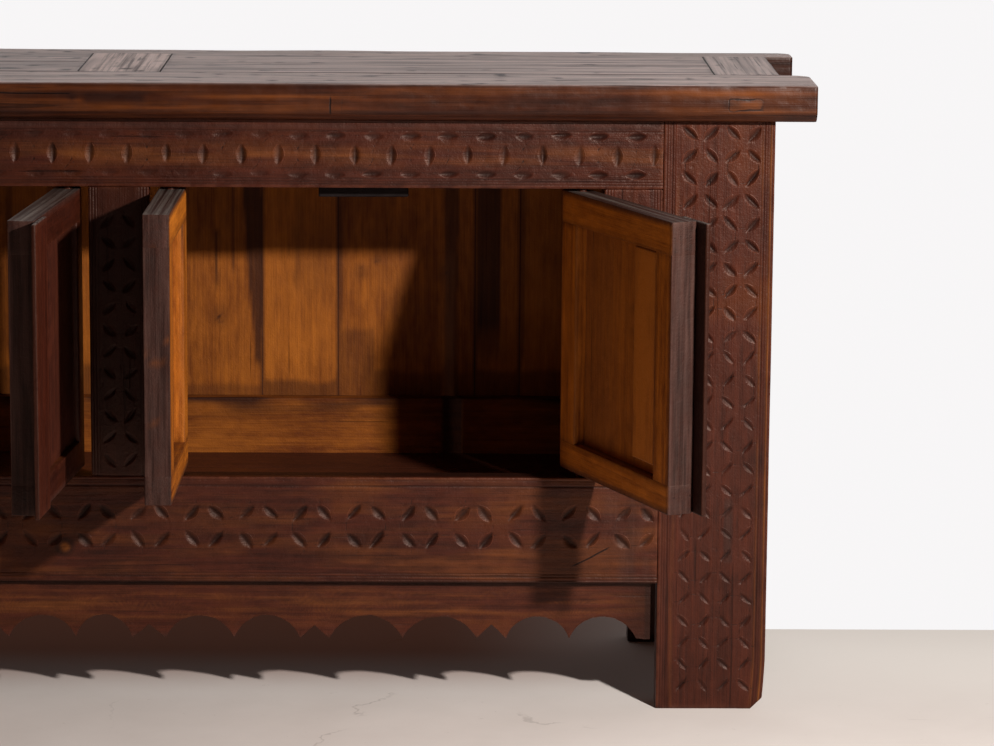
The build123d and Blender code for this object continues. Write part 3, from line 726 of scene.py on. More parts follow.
class Carving:
    """Node maths of the chips, scribed circles and punched pits of one style of carving."""

    def __init__(self, tree, got, style):
        self.tree = tree
        self.got = got
        self.straight = style == "straight"
        self.x, self.y, self.z = tree.split(tree.node("GeometryNodeInputPosition").outputs[0])
        self.waver = tree.noise(tree.vector(self.x, self.z, got["Seed"]), 14.0, 2.0) - 0.5
        self.a = (self.x - got["First Chip X"]) / got["Pitch X"] + self.waver * 0.12
        self.b = (self.z - got["First Chip Z"]) / got["Pitch Z"] + self.waver * 0.12
        self.column = self.a.math("ROUND")
        self.row = self.b.math("ROUND")
        chance = tree.node("ShaderNodeTexWhiteNoise", {"noise_dimensions": "3D"},
                           {"Vector": tree.vector(self.column, self.row, got["Seed"])})
        self.luck = tree.split(chance.outputs["Color"])
        self.field = ((self.column + 0.6).above(0.0) * self.column.below(got["Columns"] - 0.4)
                      * (self.b + 0.5).above(0.0) * self.b.below(got["Rows"] - 0.5))

    def stored(self, name):
        """Read a layer that the board brings."""
        node = self.tree.node("GeometryNodeInputNamedAttribute", {"data_type": "FLOAT"}, {"Name": name})
        return Value(self.tree, node.outputs["Attribute"])

    def chip_turn(self):
        """Angle of the chip of each cell, and how much of the chip there is."""
        parity = (self.column + self.row + self.got["Phase"]).math("FLOORED_MODULO", 2.0)
        twist = self.luck[2] - 0.5
        if self.straight:
            worn = abs(self.row - 1) * (1 - self.x.step(0.0, 0.55)) * 0.65
            upright = self.row.above(0.5) * self.row.below(1.5)
            return upright * QUARTER_TURN + twist * 0.1, (1 - parity) * (1 - worn)
        return (parity * 2 - 1) * DIAGONAL_LEAN + twist * 0.24, 1.0

    def chips(self):
        """Depth of the leaf-shaped chips, and the distance from their outlines."""
        got, luck = self.got, self.luck
        angle, present = self.chip_turn()
        lean = 1 - (self.column + got["Phase"]).math("FLOORED_MODULO", 2.0) * 2
        right = (self.a - self.column) * got["Pitch X"] + (luck[0] - 0.5) * CHIP_SHIFT - lean * got["Gather"]
        up = (self.b - self.row) * got["Pitch Z"] + (luck[1] - 0.5) * CHIP_SHIFT
        cosine = angle.math("COSINE")
        sine = angle.math("SINE")
        u = right * cosine + up * sine
        v = up * cosine - right * sine
        fade = 1 - (1 - self.z.step(got["Fade Height"] - 0.1, got["Fade Height"] + 0.1)) * got["Fade"]
        half_length = got["Chip Length"] * (0.46 + luck[0] * 0.08) * (fade * 0.4 + 0.6)
        half_width = got["Chip Width"] * (0.43 + luck[1] * 0.14) * fade
        leaf = (1 - (u / half_length) * (u / half_length)).most(0.0)
        slope = (1 - abs(v + half_width * leaf * 0.12) / (half_width * leaf).most(0.0002)).most(0.0)
        inside = (self.column.above(-0.5) * self.column.below(got["Columns"] - 0.5)
                  * self.row.above(-0.5) * self.row.below(got["Rows"] - 0.5))
        strong = 0.62 + luck[2] * 0.5
        depth = leaf.math("SQRT") * slope * got["Chip Depth"] * strong * inside * present * fade
        return depth, abs(v) - half_width * leaf + (1 - leaf.above(0.03) * inside * present)

    def to_center(self, cells, pitch):
        """Distance to the nearest centre, where the centres are two cells apart."""
        turn = cells / 2
        return (turn - turn.math("ROUND")) * pitch * 2

    def scribed(self):
        """Distance to the nearest scribed circle."""
        wide, high = self.got["Pitch X"], self.got["Pitch Z"]
        even = self.got["Phase"].math("FLOORED_MODULO", 2.0)
        if self.straight:
            gap = plane_distance(self.to_center(self.a - even + 1, wide), (self.b - 1.0) * high)
            small = plane_distance(self.to_center(self.a - even, wide), (abs(self.b - 1.0) - 1.0) * high)
            scribe = abs(gap - wide * 1.02).least(abs(gap - EYE_RADIUS) + 0.0003)
            scribe = scribe.least(abs(small - SMALL_EYE_RADIUS) + 0.0002)
        else:
            first, second = (
                plane_distance(self.to_center(self.a - 0.5 - even - shift, wide),
                               self.to_center(self.b - 0.5 - shift, high)) for shift in (0.0, 1.0))
            gap = first.least(second)
            scribe = abs(gap - plane_distance(wide, high) * 0.5).least(abs(gap - EYE_RADIUS) + 0.0006)
        return scribe + (1 - self.field) * 0.01

    def stipple(self):
        """Depth of the fine pits in some parts of the carved field."""
        pits = self.tree.noise(self.tree.vector(self.x, self.y, self.z), 520.0, 1.0).step(0.52, 0.75)
        where = self.tree.noise(self.tree.vector(self.x, self.z, self.got["Seed"] + 8.0), 26.0, 2.0)
        return pits * where.step(0.48, 0.62) * 0.0006 * self.field


def carving_group(style):
    """Node group that cuts leaf-shaped chips, scribed circles and edge reeds into a front.

    The styles are "diagonal", for chips round a lattice of touching circles, and
    "straight", for one row of circles with chips above, below and between them.
    """
    tree, start, got = shape_group(f"Chip carving, {style}", CARVING_INPUTS, True)
    carving = Carving(tree, got, style)
    front = carving.stored("front")
    chip, rim = carving.chips()
    scribe = carving.scribed()
    stipple = carving.stipple()
    swell = tree.noise(tree.vector(carving.x, carving.z, got["Seed"]), 34.0, 2.0) * got["Unevenness"]
    line = (1 - scribe / 0.0011).clamped() * got["Scribe Depth"] * 0.4
    reeds = carving.stored("reed") * got["Reed Depth"] * (0.8 + carving.waver * 0.8)
    depth = (chip + line + reeds + stipple + swell) * front
    moved = tree.node("GeometryNodeSetPosition", None, {
        "Geometry": start.outputs["Shape"], "Offset": tree.vector(0.0, depth, 0.0)})
    dark = ((chip * 330.0 + reeds * 700.0 + stipple * 500.0).clamped() * front).most(carving.stored("cut"))
    layers = (("cut", "FLOAT", dark), ("scribe", "FLOAT", scribe + (1 - front) * 0.01),
              ("rim", "FLOAT", rim + 1 - front))
    end_group(tree, moved.outputs[0], layers, start.outputs["Wood"])
    return tree.tree


def apply_group(name, data, group, values):
    """Run a node group on a mesh and return the resulting plain mesh."""
    piece = bpy.data.objects.new(name, data)
    bpy.context.scene.collection.objects.link(piece)
    modifier = piece.modifiers.new(group.name, "NODES")
    modifier.node_group = group
    for item in group.interface.items_tree:
        if item.item_type == "SOCKET" and item.in_out == "INPUT" and item.name in values:
            modifier[item.identifier] = values[item.name]
    bpy.context.view_layer.update()
    shape = bpy.data.meshes.new_from_object(piece.evaluated_get(bpy.context.evaluated_depsgraph_get()))
    shape.name = name
    bpy.data.objects.remove(piece)
    return shape


# --------------------------------------------------------------------- settings

class CarvingSettings(bpy.types.PropertyGroup):
    """Sizes of the carved fronts."""

    chip_depth: FloatProperty(
        name="Chip Depth", description="Depth of a leaf-shaped chip",
        default=0.0036, min=0.0, subtype="DISTANCE", unit="LENGTH")
    reed_depth: FloatProperty(
        name="Reed Depth", description="Depth of the grooves along the edges",
        default=0.0009, min=0.0, subtype="DISTANCE", unit="LENGTH")
    unevenness: FloatProperty(
        name="Unevenness", description="How far the worn faces dip",
        default=0.0009, min=0.0, subtype="DISTANCE", unit="LENGTH")
    cell: FloatProperty(
        name="Carving Cell", description="Size of the mesh cells on a carved face",
        default=0.0015, min=0.001, subtype="DISTANCE", unit="LENGTH")
    seed: IntProperty(
        name="Seed", description="Number that the irregularities follow from", default=4, min=0)


class FinishSettings(bpy.types.PropertyGroup):
    """Colours of the woods."""

    stain_dark: FloatVectorProperty(
        name="Dark Stain", description="Darkest colour of the stained front",
        default=tint(35, 13, 9)[:3], subtype="COLOR", min=0.0, max=1.0)
    stain_light: FloatVectorProperty(
        name="Light Stain", description="Lightest colour of the stained front",
        default=tint(75, 33, 21)[:3], subtype="COLOR", min=0.0, max=1.0)
    bare_dark: FloatVectorProperty(
        name="Dark Bare Wood", description="Late growth of the unstained wood inside",
        default=tint(92, 42, 8)[:3], subtype="COLOR", min=0.0, max=1.0)
    bare_light: FloatVectorProperty(
        name="Light Bare Wood", description="Early growth of the unstained wood inside",
        default=tint(166, 94, 27)[:3], subtype="COLOR", min=0.0, max=1.0)


class StageSettings(bpy.types.PropertyGroup):
    """Floor, lamp and camera."""

    floor_color: FloatVectorProperty(
        name="Floor", description="Colour of the floor",
        default=tint(236, 227, 222)[:3], subtype="COLOR", min=0.0, max=1.0)
    lamp_power: FloatProperty(
        name="Lamp Power", description="Power of the soft lamp at the front right",
        default=82.0, min=0.0, unit="POWER")
    room_light: FloatProperty(
        name="Room Light", description="Strength of the light from behind the cabinet", default=0.34, min=0.0)
    lens: FloatProperty(
        name="Lens", description="Focal length on a 36 mm wide sensor",
        default=139.97, min=1.0, subtype="DISTANCE_CAMERA")


# ------------------------------------------------------------------ carved front

# Reeds along the low edge and along the high edge, in metres from it: middle, half width and
# part of the full depth
REEDS = {
    "post": (((0.0048, 0.0012, 0.8), (0.0082, 0.0010, 0.5), (0.0118, 0.0014, 1.0), (0.0152, 0.0009, 0.5)),
             ((0.0035, 0.0012, 0.7), (0.0070, 0.0014, 1.0), (0.0105, 0.0010, 0.5), (0.0140, 0.0014, 0.9),
              (0.0178, 0.0010, 0.6))),
    "stile": (((0.0040, 0.0012, 0.9), (0.0080, 0.0012, 0.8), (0.0118, 0.0010, 0.5)),
              ((0.0040, 0.0012, 0.9), (0.0080, 0.0012, 0.8), (0.0118, 0.0010, 0.5))),
    "top_rail": (((0.0052, 0.0011, 1.0), (0.0086, 0.0011, 0.9), (0.0125, 0.0011, 0.7)),
                 ((0.0060, 0.0012, 0.5), (0.0170, 0.0013, 1.0))),
    "bottom_rail": (((0.0038, 0.0012, 0.9), (0.0085, 0.0012, 1.0), (0.0125, 0.0012, 0.8)),
                    ((0.0045, 0.0012, 0.6), (0.0125, 0.0017, 1.3))),
}


def reed_depth(low_gap, high_gap, kind):
    """Share of the reed depth at each corner, from its distances to the two edges."""
    depth = np.zeros(len(low_gap))
    for gap, rows in zip((low_gap, high_gap), REEDS[kind]):
        for middle, half, part in rows:
            depth = np.maximum(depth, part * np.clip(1 - ((gap - middle) / half) ** 2, 0, None))
    return depth


FRONT_STEP = 0.012
FRONT_RADIUS = 0.0024
FRONT_DIP = 0.0005
RAIL_CELLS = 1.3


def front_box(node, kind):
    """Box of a board of the frame, up to where it meets its neighbours."""
    low, high = (np.array(corner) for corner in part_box(node))
    if kind == "stile":
        low[2], high[2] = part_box("front_bottom_rail")[1].z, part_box("front_top_rail")[0].z
    elif kind.endswith("rail"):
        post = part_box("post_front_right")[0]
        low[0], high[0] = -post.x, post.x
    return low, high


def carved_board(name, node, style, kind, values):
    """Carve the front of one board of the frame, with reeds along its two long edges."""
    settings = bpy.context.scene.cabinet_carving
    low, high = front_box(node, kind)
    lies = kind.endswith("rail")
    along, cross = (0, 2) if lies else (2, 0)
    board = Board(name, low, high, along)
    cell = settings.cell * (RAIL_CELLS if lies else 1.0)
    order = -1 if kind == "post" and low[0] < 0 else 1
    bands = [0.0045 + rows[-1][0] for rows in REEDS[kind]][::order]
    lines = [None, grid_lines(low[1], high[1], FRONT_STEP, FRONT_RADIUS), None]
    lines[along] = grid_lines(low[along], high[along], cell, FRONT_RADIUS)
    lines[cross] = grid_lines(low[cross], high[cross], cell, FRONT_RADIUS, bands)
    corners, quads, faces = box_shell(*lines, open_back=True)
    gaps = [corners[:, cross] - low[cross], high[cross] - corners[:, cross]][::order]
    front = near(corners[:, 1] - low[1], 0.0008)
    board.layers = {"front": front, "reed": reed_depth(*gaps, kind)}
    board.layers.update(front_marks(kind, corners, board, gaps, front))
    moved = board.wear(corners, FRONT_DIP, FRONT_RADIUS)
    if kind == "post":
        moved = worn_foot(moved, low, high)
    numbers = {"Reed Depth": settings.reed_depth, "Unevenness": settings.unevenness,
               "Chip Depth": settings.chip_depth, "Seed": float(settings.seed + board.seed % 50)}
    numbers.update(values, Wood=slot_wood("stained_wood"))
    group = bpy.data.node_groups.get(f"Chip carving, {style}") or carving_group(style)
    data = apply_group(name, board.mesh(corners, quads, faces, moved), group, numbers)
    place(name, data, "stained_wood", node)


POST_PATCH_X, POST_PATCH_Z = 0.8125, 0.247
POST_PATCH_HALF_WIDTH, POST_PATCH_HALF_HEIGHT = 0.0065, 0.046
RAIL_CRACK_X, RAIL_CRACK_Z = 0.6022, 0.1953
RAIL_CRACK_RUN, RAIL_CRACK_RISE = 0.877, 0.480
RAIL_CRACK_LENGTH = 0.0602
RAIL_KNOT_X, RAIL_KNOT_Z = -0.0766, 0.2215
RAIL_GRAY_START = 0.635
RAIL_CHIP_Z = 0.752


class FrontMarks:
    """Rubbed, bare and stained places on a carved board, and its painted shade and highlights."""

    def __init__(self, corners, board, gaps):
        self.x, self.y, self.z = corners.T
        self.board = board
        self.low_gap, self.high_gap = gaps
        self.ragged = smooth_noise(corners * [1, 1, 0.25], 90, board.seed + 11)
        self.long_ragged = smooth_noise(corners * [0.14, 1, 1], 70, board.seed + 12)
        self.long_ragged += 0.4 * smooth_noise(corners * [0.12, 1, 1], 210, board.seed + 13)
        self.raw, self.gray, self.dark, self.cracked, self.black = np.zeros((5, len(corners)))
        self.crack = np.ones(len(corners))

    def post(self):
        """Bare edges of the reeds, a gray foot, and on the right a let-in patch."""
        ragged = self.ragged
        self.raw += 0.75 * near(np.abs(self.high_gap - 0.0055), 0.0022) * share(0.75 + 0.5 * ragged)
        self.raw += 0.3 * near(np.abs(self.high_gap - 0.0165), 0.003) * share(0.4 + ragged)
        self.raw += 0.3 * near(np.abs(self.low_gap - 0.019), 0.004) * share(0.2 + ragged)
        self.gray += 0.6 * near(self.z, 0.006)
        if self.board.low[0] > 0:
            patch = share(1 - (np.abs(self.x - POST_PATCH_X) / POST_PATCH_HALF_WIDTH) ** 6)
            patch *= share(1 - (np.abs(self.z - POST_PATCH_Z) / POST_PATCH_HALF_HEIGHT) ** 10)
            self.gray += 0.6 * patch
            self.dark += 0.3 * patch * share(0.8 + ragged)
            self.crack = (1 - patch) - 0.5
            self.cracked = (np.abs(self.crack) < 0.49).astype(float)

    def stile(self):
        """Painted shade over the middle stile."""
        if abs(self.board.low[0]) < 0.1:
            # Painted shade: the middle stile is darkened all over.
            self.dark += 0.6

    def top_rail(self):
        """A gray streak near the top and bare wood on the chips."""
        self.gray += 0.5 * near(np.abs(self.high_gap - 0.011), 0.006)
        self.raw += 0.35 * near(np.abs(self.z - RAIL_CHIP_Z), 0.022) * share(0.5 + self.long_ragged)

    def bottom_rail(self):
        """Painted shade along the lower edge and on the back of the top face, gray ends, a slanting crack, and a
        knot whose pale core is a painted highlight.
        """
        self.raw += 0.22 * share(0.3 + self.long_ragged)
        # Painted shade along the lower edge, above the apron.
        self.dark += near(self.low_gap - 0.0015, 0.002)
        # Painted shade: black on the back of the top face, in the gap in front of the floor of the cabinet.
        self.black = share((self.y - self.board.low[1] - 0.006) / 0.003) * (self.high_gap < 0.003)
        self.gray += 0.5 * share((np.abs(self.x) - RAIL_GRAY_START) / 0.03) * share(0.4 + self.ragged)
        right, up = self.x - RAIL_CRACK_X, self.z - RAIL_CRACK_Z
        self.crack = up * RAIL_CRACK_RUN - right * RAIL_CRACK_RISE
        reach = right * RAIL_CRACK_RUN + up * RAIL_CRACK_RISE
        self.cracked = share(reach / 0.006) * share((RAIL_CRACK_LENGTH - reach) / 0.006)
        knot = np.hypot(self.x - RAIL_KNOT_X, self.z - RAIL_KNOT_Z)
        self.dark += 0.8 * near(np.abs(knot - 0.010), 0.006)
        # Painted highlight: the pale bare core of the knot stands in for its glint.
        self.raw += share(1.6 - knot / 0.006)


def front_marks(kind, corners, board, gaps, front):
    """Layers of the rubbed, bare and stained places on a carved board, with its painted shade and highlights."""
    marks = FrontMarks(corners, board, gaps)
    getattr(marks, kind)()
    return {"raw": share(marks.raw) * front, "gray": share(marks.gray),
            "dark": share(marks.dark * front + marks.black), "crack": marks.crack,
            "cracked": marks.cracked * front, "cut": marks.black}


FOOT_REACH = 0.016
FOOT_ROUND = 0.008


def worn_foot(corners, low, high):
    """Round off the outer bottom corner of a front post and let its side lean in."""
    moved = corners.copy()
    side = 1 if low[0] > 0 else -1
    outer = high[0] if side > 0 else low[0]
    gap = (outer - moved[:, 0]) * side
    height = moved[:, 2] - low[2]
    lean = 0.0045 * near(height, 0.07) ** 1.4
    round_off = FOOT_ROUND * np.maximum(near(gap, FOOT_REACH) + near(height, FOOT_REACH) - 1, 0)
    moved[:, 0] -= side * (lean * near(gap, 0.06) + round_off)
    moved[:, 2] += round_off
    return moved


POST_CARVING = {
    "First Chip Z": 0.033, "Pitch X": 0.02787, "Pitch Z": 0.0300, "Columns": 4.0, "Rows": 26.0,
    "Chip Length": 0.0275, "Chip Width": 0.0118, "Fade": 0.35, "Fade Height": 0.56,
}
STILE_CARVING = {
    "First Chip Z": 0.341, "Pitch X": 0.028, "Pitch Z": 0.0293, "Columns": 2.0, "Rows": 12.0, "Phase": 0.0,
    "Chip Length": 0.024, "Chip Width": 0.0095,
}
TOP_RAIL_CARVING = {
    "First Chip X": 0.0136 - 0.04953 * 14, "First Chip Z": 0.7274, "Pitch X": 0.024765, "Pitch Z": 0.0256,
    "Columns": 57.0, "Rows": 3.0, "Phase": 1.0,
    "Chip Length": 0.0275, "Chip Width": 0.0125, "Chip Depth": 0.0040,
}
BOTTOM_RAIL_CARVING = {
    "First Chip X": 0.038 - 0.07207 * 10 + 0.01802, "First Chip Z": 0.2324, "Pitch X": 0.036035,
    "Pitch Z": 0.0374, "Columns": 39.0, "Rows": 2.0, "Phase": 1.0,
    "Chip Length": 0.0285, "Chip Width": 0.0132, "Chip Depth": 0.0042, "Gather": 0.0024,
}


class CABINET_OT_carved_front(bpy.types.Operator):
    """Build the carved posts, rails and stiles of the front"""

    bl_idname = "cabinet.carved_front"
    bl_label = "Carved Front"

    def execute(self, context):
        for side, first, phase in (("right", 0.7536, 1.0), ("left", -0.8372, 0.0)):
            carved_board(f"front_post_{side}", f"post_front_{side}", "diagonal", "post",
                         {**POST_CARVING, "First Chip X": first, "Phase": phase})
        for side, first in (("left", -0.6937), ("center", -0.014), ("right", 0.6657)):
            carved_board(f"front_stile_{side}", f"stile_{side}", "diagonal", "stile",
                         {**STILE_CARVING, "First Chip X": first})
        carved_board("front_rail_top", "front_top_rail", "straight", "top_rail", TOP_RAIL_CARVING)
        carved_board("front_rail_bottom", "front_bottom_rail", "diagonal", "bottom_rail", BOTTOM_RAIL_CARVING)
        return {"FINISHED"}


# ------------------------------------------------------------------------- apron

# Widths in millimetres from the right end, with a notch after every second arch
ARCHES = (90.5, 85.0, 100.0, 99.0, 89.0, 92.0, 75.5, 90.5, 98.0, 98.0, 98.0, 98.0)
NOTCHES = (40.0, 39.0, 45.5, 36.0, 40.0)


APRON_SHEET = {"Size X": 2.0, "Size Y": 1.0, "Vertices X": 1301, "Vertices Y": 22}


def apron_rise(got, run):
    """Height of the scalloped edge above its lowest line, at a distance from the right end."""
    rise = 0.0
    edge = 0.0
    for count in range(1, len(ARCHES) + 1):
        if count > 1 and count % 2 == 1:
            notch = got[f"Notch {count // 2}"]
            part = (run - edge) / notch * 2 - 1
            rise = (1 - abs(part)).most(0.0) * got["Notch Rise"] + rise
            edge = notch + edge
        arch = got[f"Arch {count}"]
        part = (run - edge) / arch * 2 - 1
        half = arch * 0.5
        radius = (half * half + got["Arch Rise"] * got["Arch Rise"]) / (got["Arch Rise"] * 2)
        bow = (radius * radius - part * part * half * half).most(0.0).math("SQRT") - radius + got["Arch Rise"]
        rise = bow.most(0.0) * abs(part).below(1.0) + rise
        edge = arch + edge
    return rise


def apron_layers(tree, got):
    """Layers of the apron: a worn gray lower edge, bare streaks, darker ends, and black painted shade along its
    top and at its ends.
    """
    x, y, z = tree.split(tree.node("GeometryNodeInputPosition").outputs[0])
    climb = z - got["Low"]
    past_end = abs(x) - got["Half Length"]
    patchy = tree.noise(tree.vector(x, 1.0, z), 40.0, 3.0).step(0.35, 0.6)
    warm = tree.noise(tree.vector(x * 0.3, 3.0, z * 7.0), 16.0, 4.0, 0.6).step(0.4, 0.7)
    # Painted shade: black along the top, under the bottom rail.
    top = 2 - (got["High"] - z) / 0.004
    return (("grain", "FLOAT_VECTOR", tree.vector(x + 31.7, z - 0.11, y + 0.055)),
            ("worn", "FLOAT", (1 - climb / 0.03).clamped() * 0.6),
            ("gray", "FLOAT", ((1 - climb / 0.009).clamped() * patchy).clamped() * 0.9),
            ("raw", "FLOAT", warm * 0.45 * (1 - abs(climb - 0.045) / 0.035).clamped()),
            ("dark", "FLOAT", (past_end + 0.06).step(0.0, 0.07) * 0.8),
            # Black painted shade at the top and in the gaps at both ends.
            ("cut", "FLOAT", top.most((past_end + 0.009) / 0.003).clamped()))


def apron_group():
    """Node group that makes a scalloped board: arches, with a notch after every second one."""
    sizes = {"Half Length": 0.7105, "Low": 0.0935, "High": 0.1735, "Front": 0.012, "Thickness": 0.018,
             "End Flat": 0.019, "Arch Rise": 0.031, "Notch Rise": 0.019, "Roughness": 0.0022}
    sizes.update({f"Arch {count}": width / 1000 for count, width in enumerate(ARCHES, 1)})
    sizes.update({f"Notch {count}": width / 1000 for count, width in enumerate(NOTCHES, 1)})
    tree, start, got = shape_group("Scalloped apron", sizes, False)
    sheet = tree.node("GeometryNodeMeshGrid", None, APRON_SHEET)
    a, b, _ = tree.split(tree.node("GeometryNodeInputPosition").outputs[0])
    x = a * got["Half Length"]
    rise = apron_rise(got, got["Half Length"] - got["End Flat"] - x)
    wander = (tree.noise(tree.vector(x, 0.0, 5.0), 13.0, 2.0) - 0.5) * 0.006
    ragged = (tree.noise(tree.vector(x, 0.0, 2.0), 70.0, 3.0) - 0.4).most(0.0) * got["Roughness"] * 2.0
    low = got["Low"] + (rise + wander * rise.above(0.004) + ragged).most(0.0)
    z = low + (got["High"] - low) * (b + 0.5)
    hollow = tree.noise(tree.vector(x * 2, z * 8, 0.0), 5.0, 2.0) * 0.0014
    shaped = tree.node("GeometryNodeSetPosition", None, {
        "Geometry": sheet.outputs[0], "Position": tree.vector(x, got["Front"] + hollow, z)})
    thick = tree.node("GeometryNodeExtrudeMesh", {"mode": "FACES"}, {
        "Mesh": shaped.outputs[0], "Offset": tree.vector(0.0, 1.0, 0.0),
        "Offset Scale": got["Thickness"] - 0.0015, "Individual": False})
    flipped = tree.node("GeometryNodeFlipFaces", None, {"Mesh": thick.outputs[0]})
    both = tree.node("GeometryNodeJoinGeometry", None, {0: flipped.outputs[0]})
    tree.tree.links.new(shaped.outputs[0], both.inputs[0])
    merged = tree.node("GeometryNodeMergeByDistance", None, {
        "Geometry": both.outputs[0], "Distance": 0.00002})
    end_group(tree, merged.outputs[0], apron_layers(tree, got), start.outputs["Wood"])
    return tree.tree


class CABINET_OT_apron(bpy.types.Operator):
    """Build the scalloped apron under the front"""

    bl_idname = "cabinet.apron"
    bl_label = "Scalloped Apron"

    def execute(self, context):
        low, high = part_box("apron")
        data = apply_group("scalloped_apron", bpy.data.meshes.new("apron_start"), apron_group(), {
            "Half Length": high.x, "Low": low.z, "High": high.z, "Front": low.y, "Thickness": high.y - low.y,
            "Wood": slot_wood("stained_wood")})
        place("scalloped_apron", data, "stained_wood", "apron")
        return {"FINISHED"}


# --------------------------------------------------------------------- table top

TOP_RADII = (0.004, 0.0015, 0.0015, 0.0038)
TOP_BEVEL = 0.010
TOP_EASE = 0.0026
END_ZONE = 0.026
FRONT_PLANK_ENDS = (0.003, 0.026)
REAR_PLANK_ENDS = (0.024, 0.004)
TOP_PITH = (0.01, -0.06)


def arc_drop(radius, gap):
    """How far a rounded corner stands back, at a distance from the end."""
    return radius - math.sqrt(max(radius ** 2 - max(radius - gap, 0) ** 2, 0.0))


def plank_sections(low, high, outer_side):
    """Sections along a top plank with horned ends and a bevel under its outer edge."""
    outer = low[1] if outer_side < 0 else high[1]
    width = high[1] - low[1]
    outline = rounded_outline((0.0, low[2]), (width, high[2]), TOP_RADII, 0.0035)
    outline += 0.5 * np.clip(TOP_BEVEL - (outline[:, 1] - low[2]) - outline[:, 0], 0, None)[:, None]
    near_end = np.concatenate([[0.0, 0.0006, 0.0016, 0.003], np.arange(0.005, END_ZONE, 0.002)])
    stations = np.concatenate([low[0] + near_end, np.arange(low[0] + END_ZONE, high[0] - END_ZONE, 0.005),
                               high[0] - near_end[::-1]])
    outer_radius, inner_radius = FRONT_PLANK_ENDS if outer_side < 0 else REAR_PLANK_ENDS
    sections = []
    for x in stations:
        gap = min(x - low[0], high[0] - x)
        ease = arc_drop(TOP_EASE, gap)
        plan = inset(outline, ease) if ease > 0 else outline
        back = arc_drop(outer_radius, gap) * near(plan[:, 0], width * 0.55)
        fore = arc_drop(inner_radius, gap) * share((plan[:, 0] / width - 0.45) / 0.55)
        y = outer - outer_side * (plan[:, 0] + back - fore)
        sections.append(np.column_stack([np.full(len(plan), x), y, plan[:, 1]]))
    return sections


def worn_plank(corners, board, depth, outer_side, top_face):
    """Dent the outer edge of a top plank and hollow its upper face a little."""
    edge = near(depth, 0.012)
    low_edge = near(corners[:, 2] - board.low[2], 0.014) * edge
    dents = 0.0011 * share(smooth_noise(corners * [1, 1, 2], 26, board.seed)) * edge
    dents += 0.0007 * share(smooth_noise(corners * [1, 1, 3], 75, board.seed + 9)) * edge
    dents += 0.002 * low_edge * (0.5 + 0.5 * smooth_noise(corners, 12, board.seed + 2))
    moved = corners.copy()
    moved[:, 1] -= outer_side * dents
    moved[:, 2] += low_edge * 0.001 * (1 + smooth_noise(corners, 18, board.seed + 4))
    moved[:, 2] -= top_face * 0.0006 * (1 + smooth_noise(corners, 8, board.seed + 6))
    return moved


def plank_layers(corners, board, depth, face, top_face):
    """Streaks and dark edges on the outer face of a top plank, painted shade along its lower band, and its gray
    upper face.
    """
    lower = near(corners[:, 2] - board.low[2], 0.016)
    upper = near(board.high[2] - corners[:, 2], 0.013)
    width = board.high[1] - board.low[1]
    streaks = smooth_noise(corners * [0.12, 1, 3], 40, board.seed + 7)
    streaks += 0.6 * smooth_noise(corners * [0.08, 1, 3], 120, board.seed + 8)
    bare = face * share(0.15 + streaks) * (1 - lower) * (1 - 0.8 * upper)
    # The dark lower band is painted shade under the front edge, which faces down.
    dark = face * share(1.4 * lower + 0.35 * upper - 0.5 * streaks)
    dark += 0.6 * near(width - depth, 0.004) * (1 - top_face)
    dark += top_face * top_marks(corners, board.seed + 30)
    return {"raw": bare, "dark": dark, "gray": top_face * 0.85, "worn": near(depth, 0.012) * 0.2}


def top_plank(name, node, outer_side):
    """Make a long top plank; its outer side is -1 in front and 1 at the back."""
    low, high = (np.array(corner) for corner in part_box(node))
    board = Board(name, low, high, 0, pith=TOP_PITH)
    corners, quads, faces = loft(plank_sections(low, high, outer_side))
    depth = np.abs(corners[:, 1] - (low[1] if outer_side < 0 else high[1]))
    top_face = share((corners[:, 2] - high[2] + 0.002) / 0.002)
    face = near(depth, 0.004) * (1 - top_face)
    board.layers = plank_layers(corners, board, depth, face, top_face)
    if outer_side < 0:
        plank_marks(corners, face, board)
    return board.mesh(corners, quads, faces, worn_plank(corners, board, depth, outer_side, top_face))


def top_marks(corners, seed):
    """Brown streaks and short dark flaws on the top."""
    streaks = smooth_noise(corners * [0.15, 1, 1], 50, seed)
    streaks += 0.6 * smooth_noise(corners * [0.1, 1, 1], 130, seed + 1)
    flaws = smooth_noise(corners * [0.5, 1, 1], 80, seed + 2)
    return np.clip(0.5 * streaks - 0.05, 0, 0.4) + np.clip(3.0 * flaws - 1.7, 0, 0.8)


PATCH_X, PATCH_Z = 0.823, 0.8240
SPLIT_X = 0.279


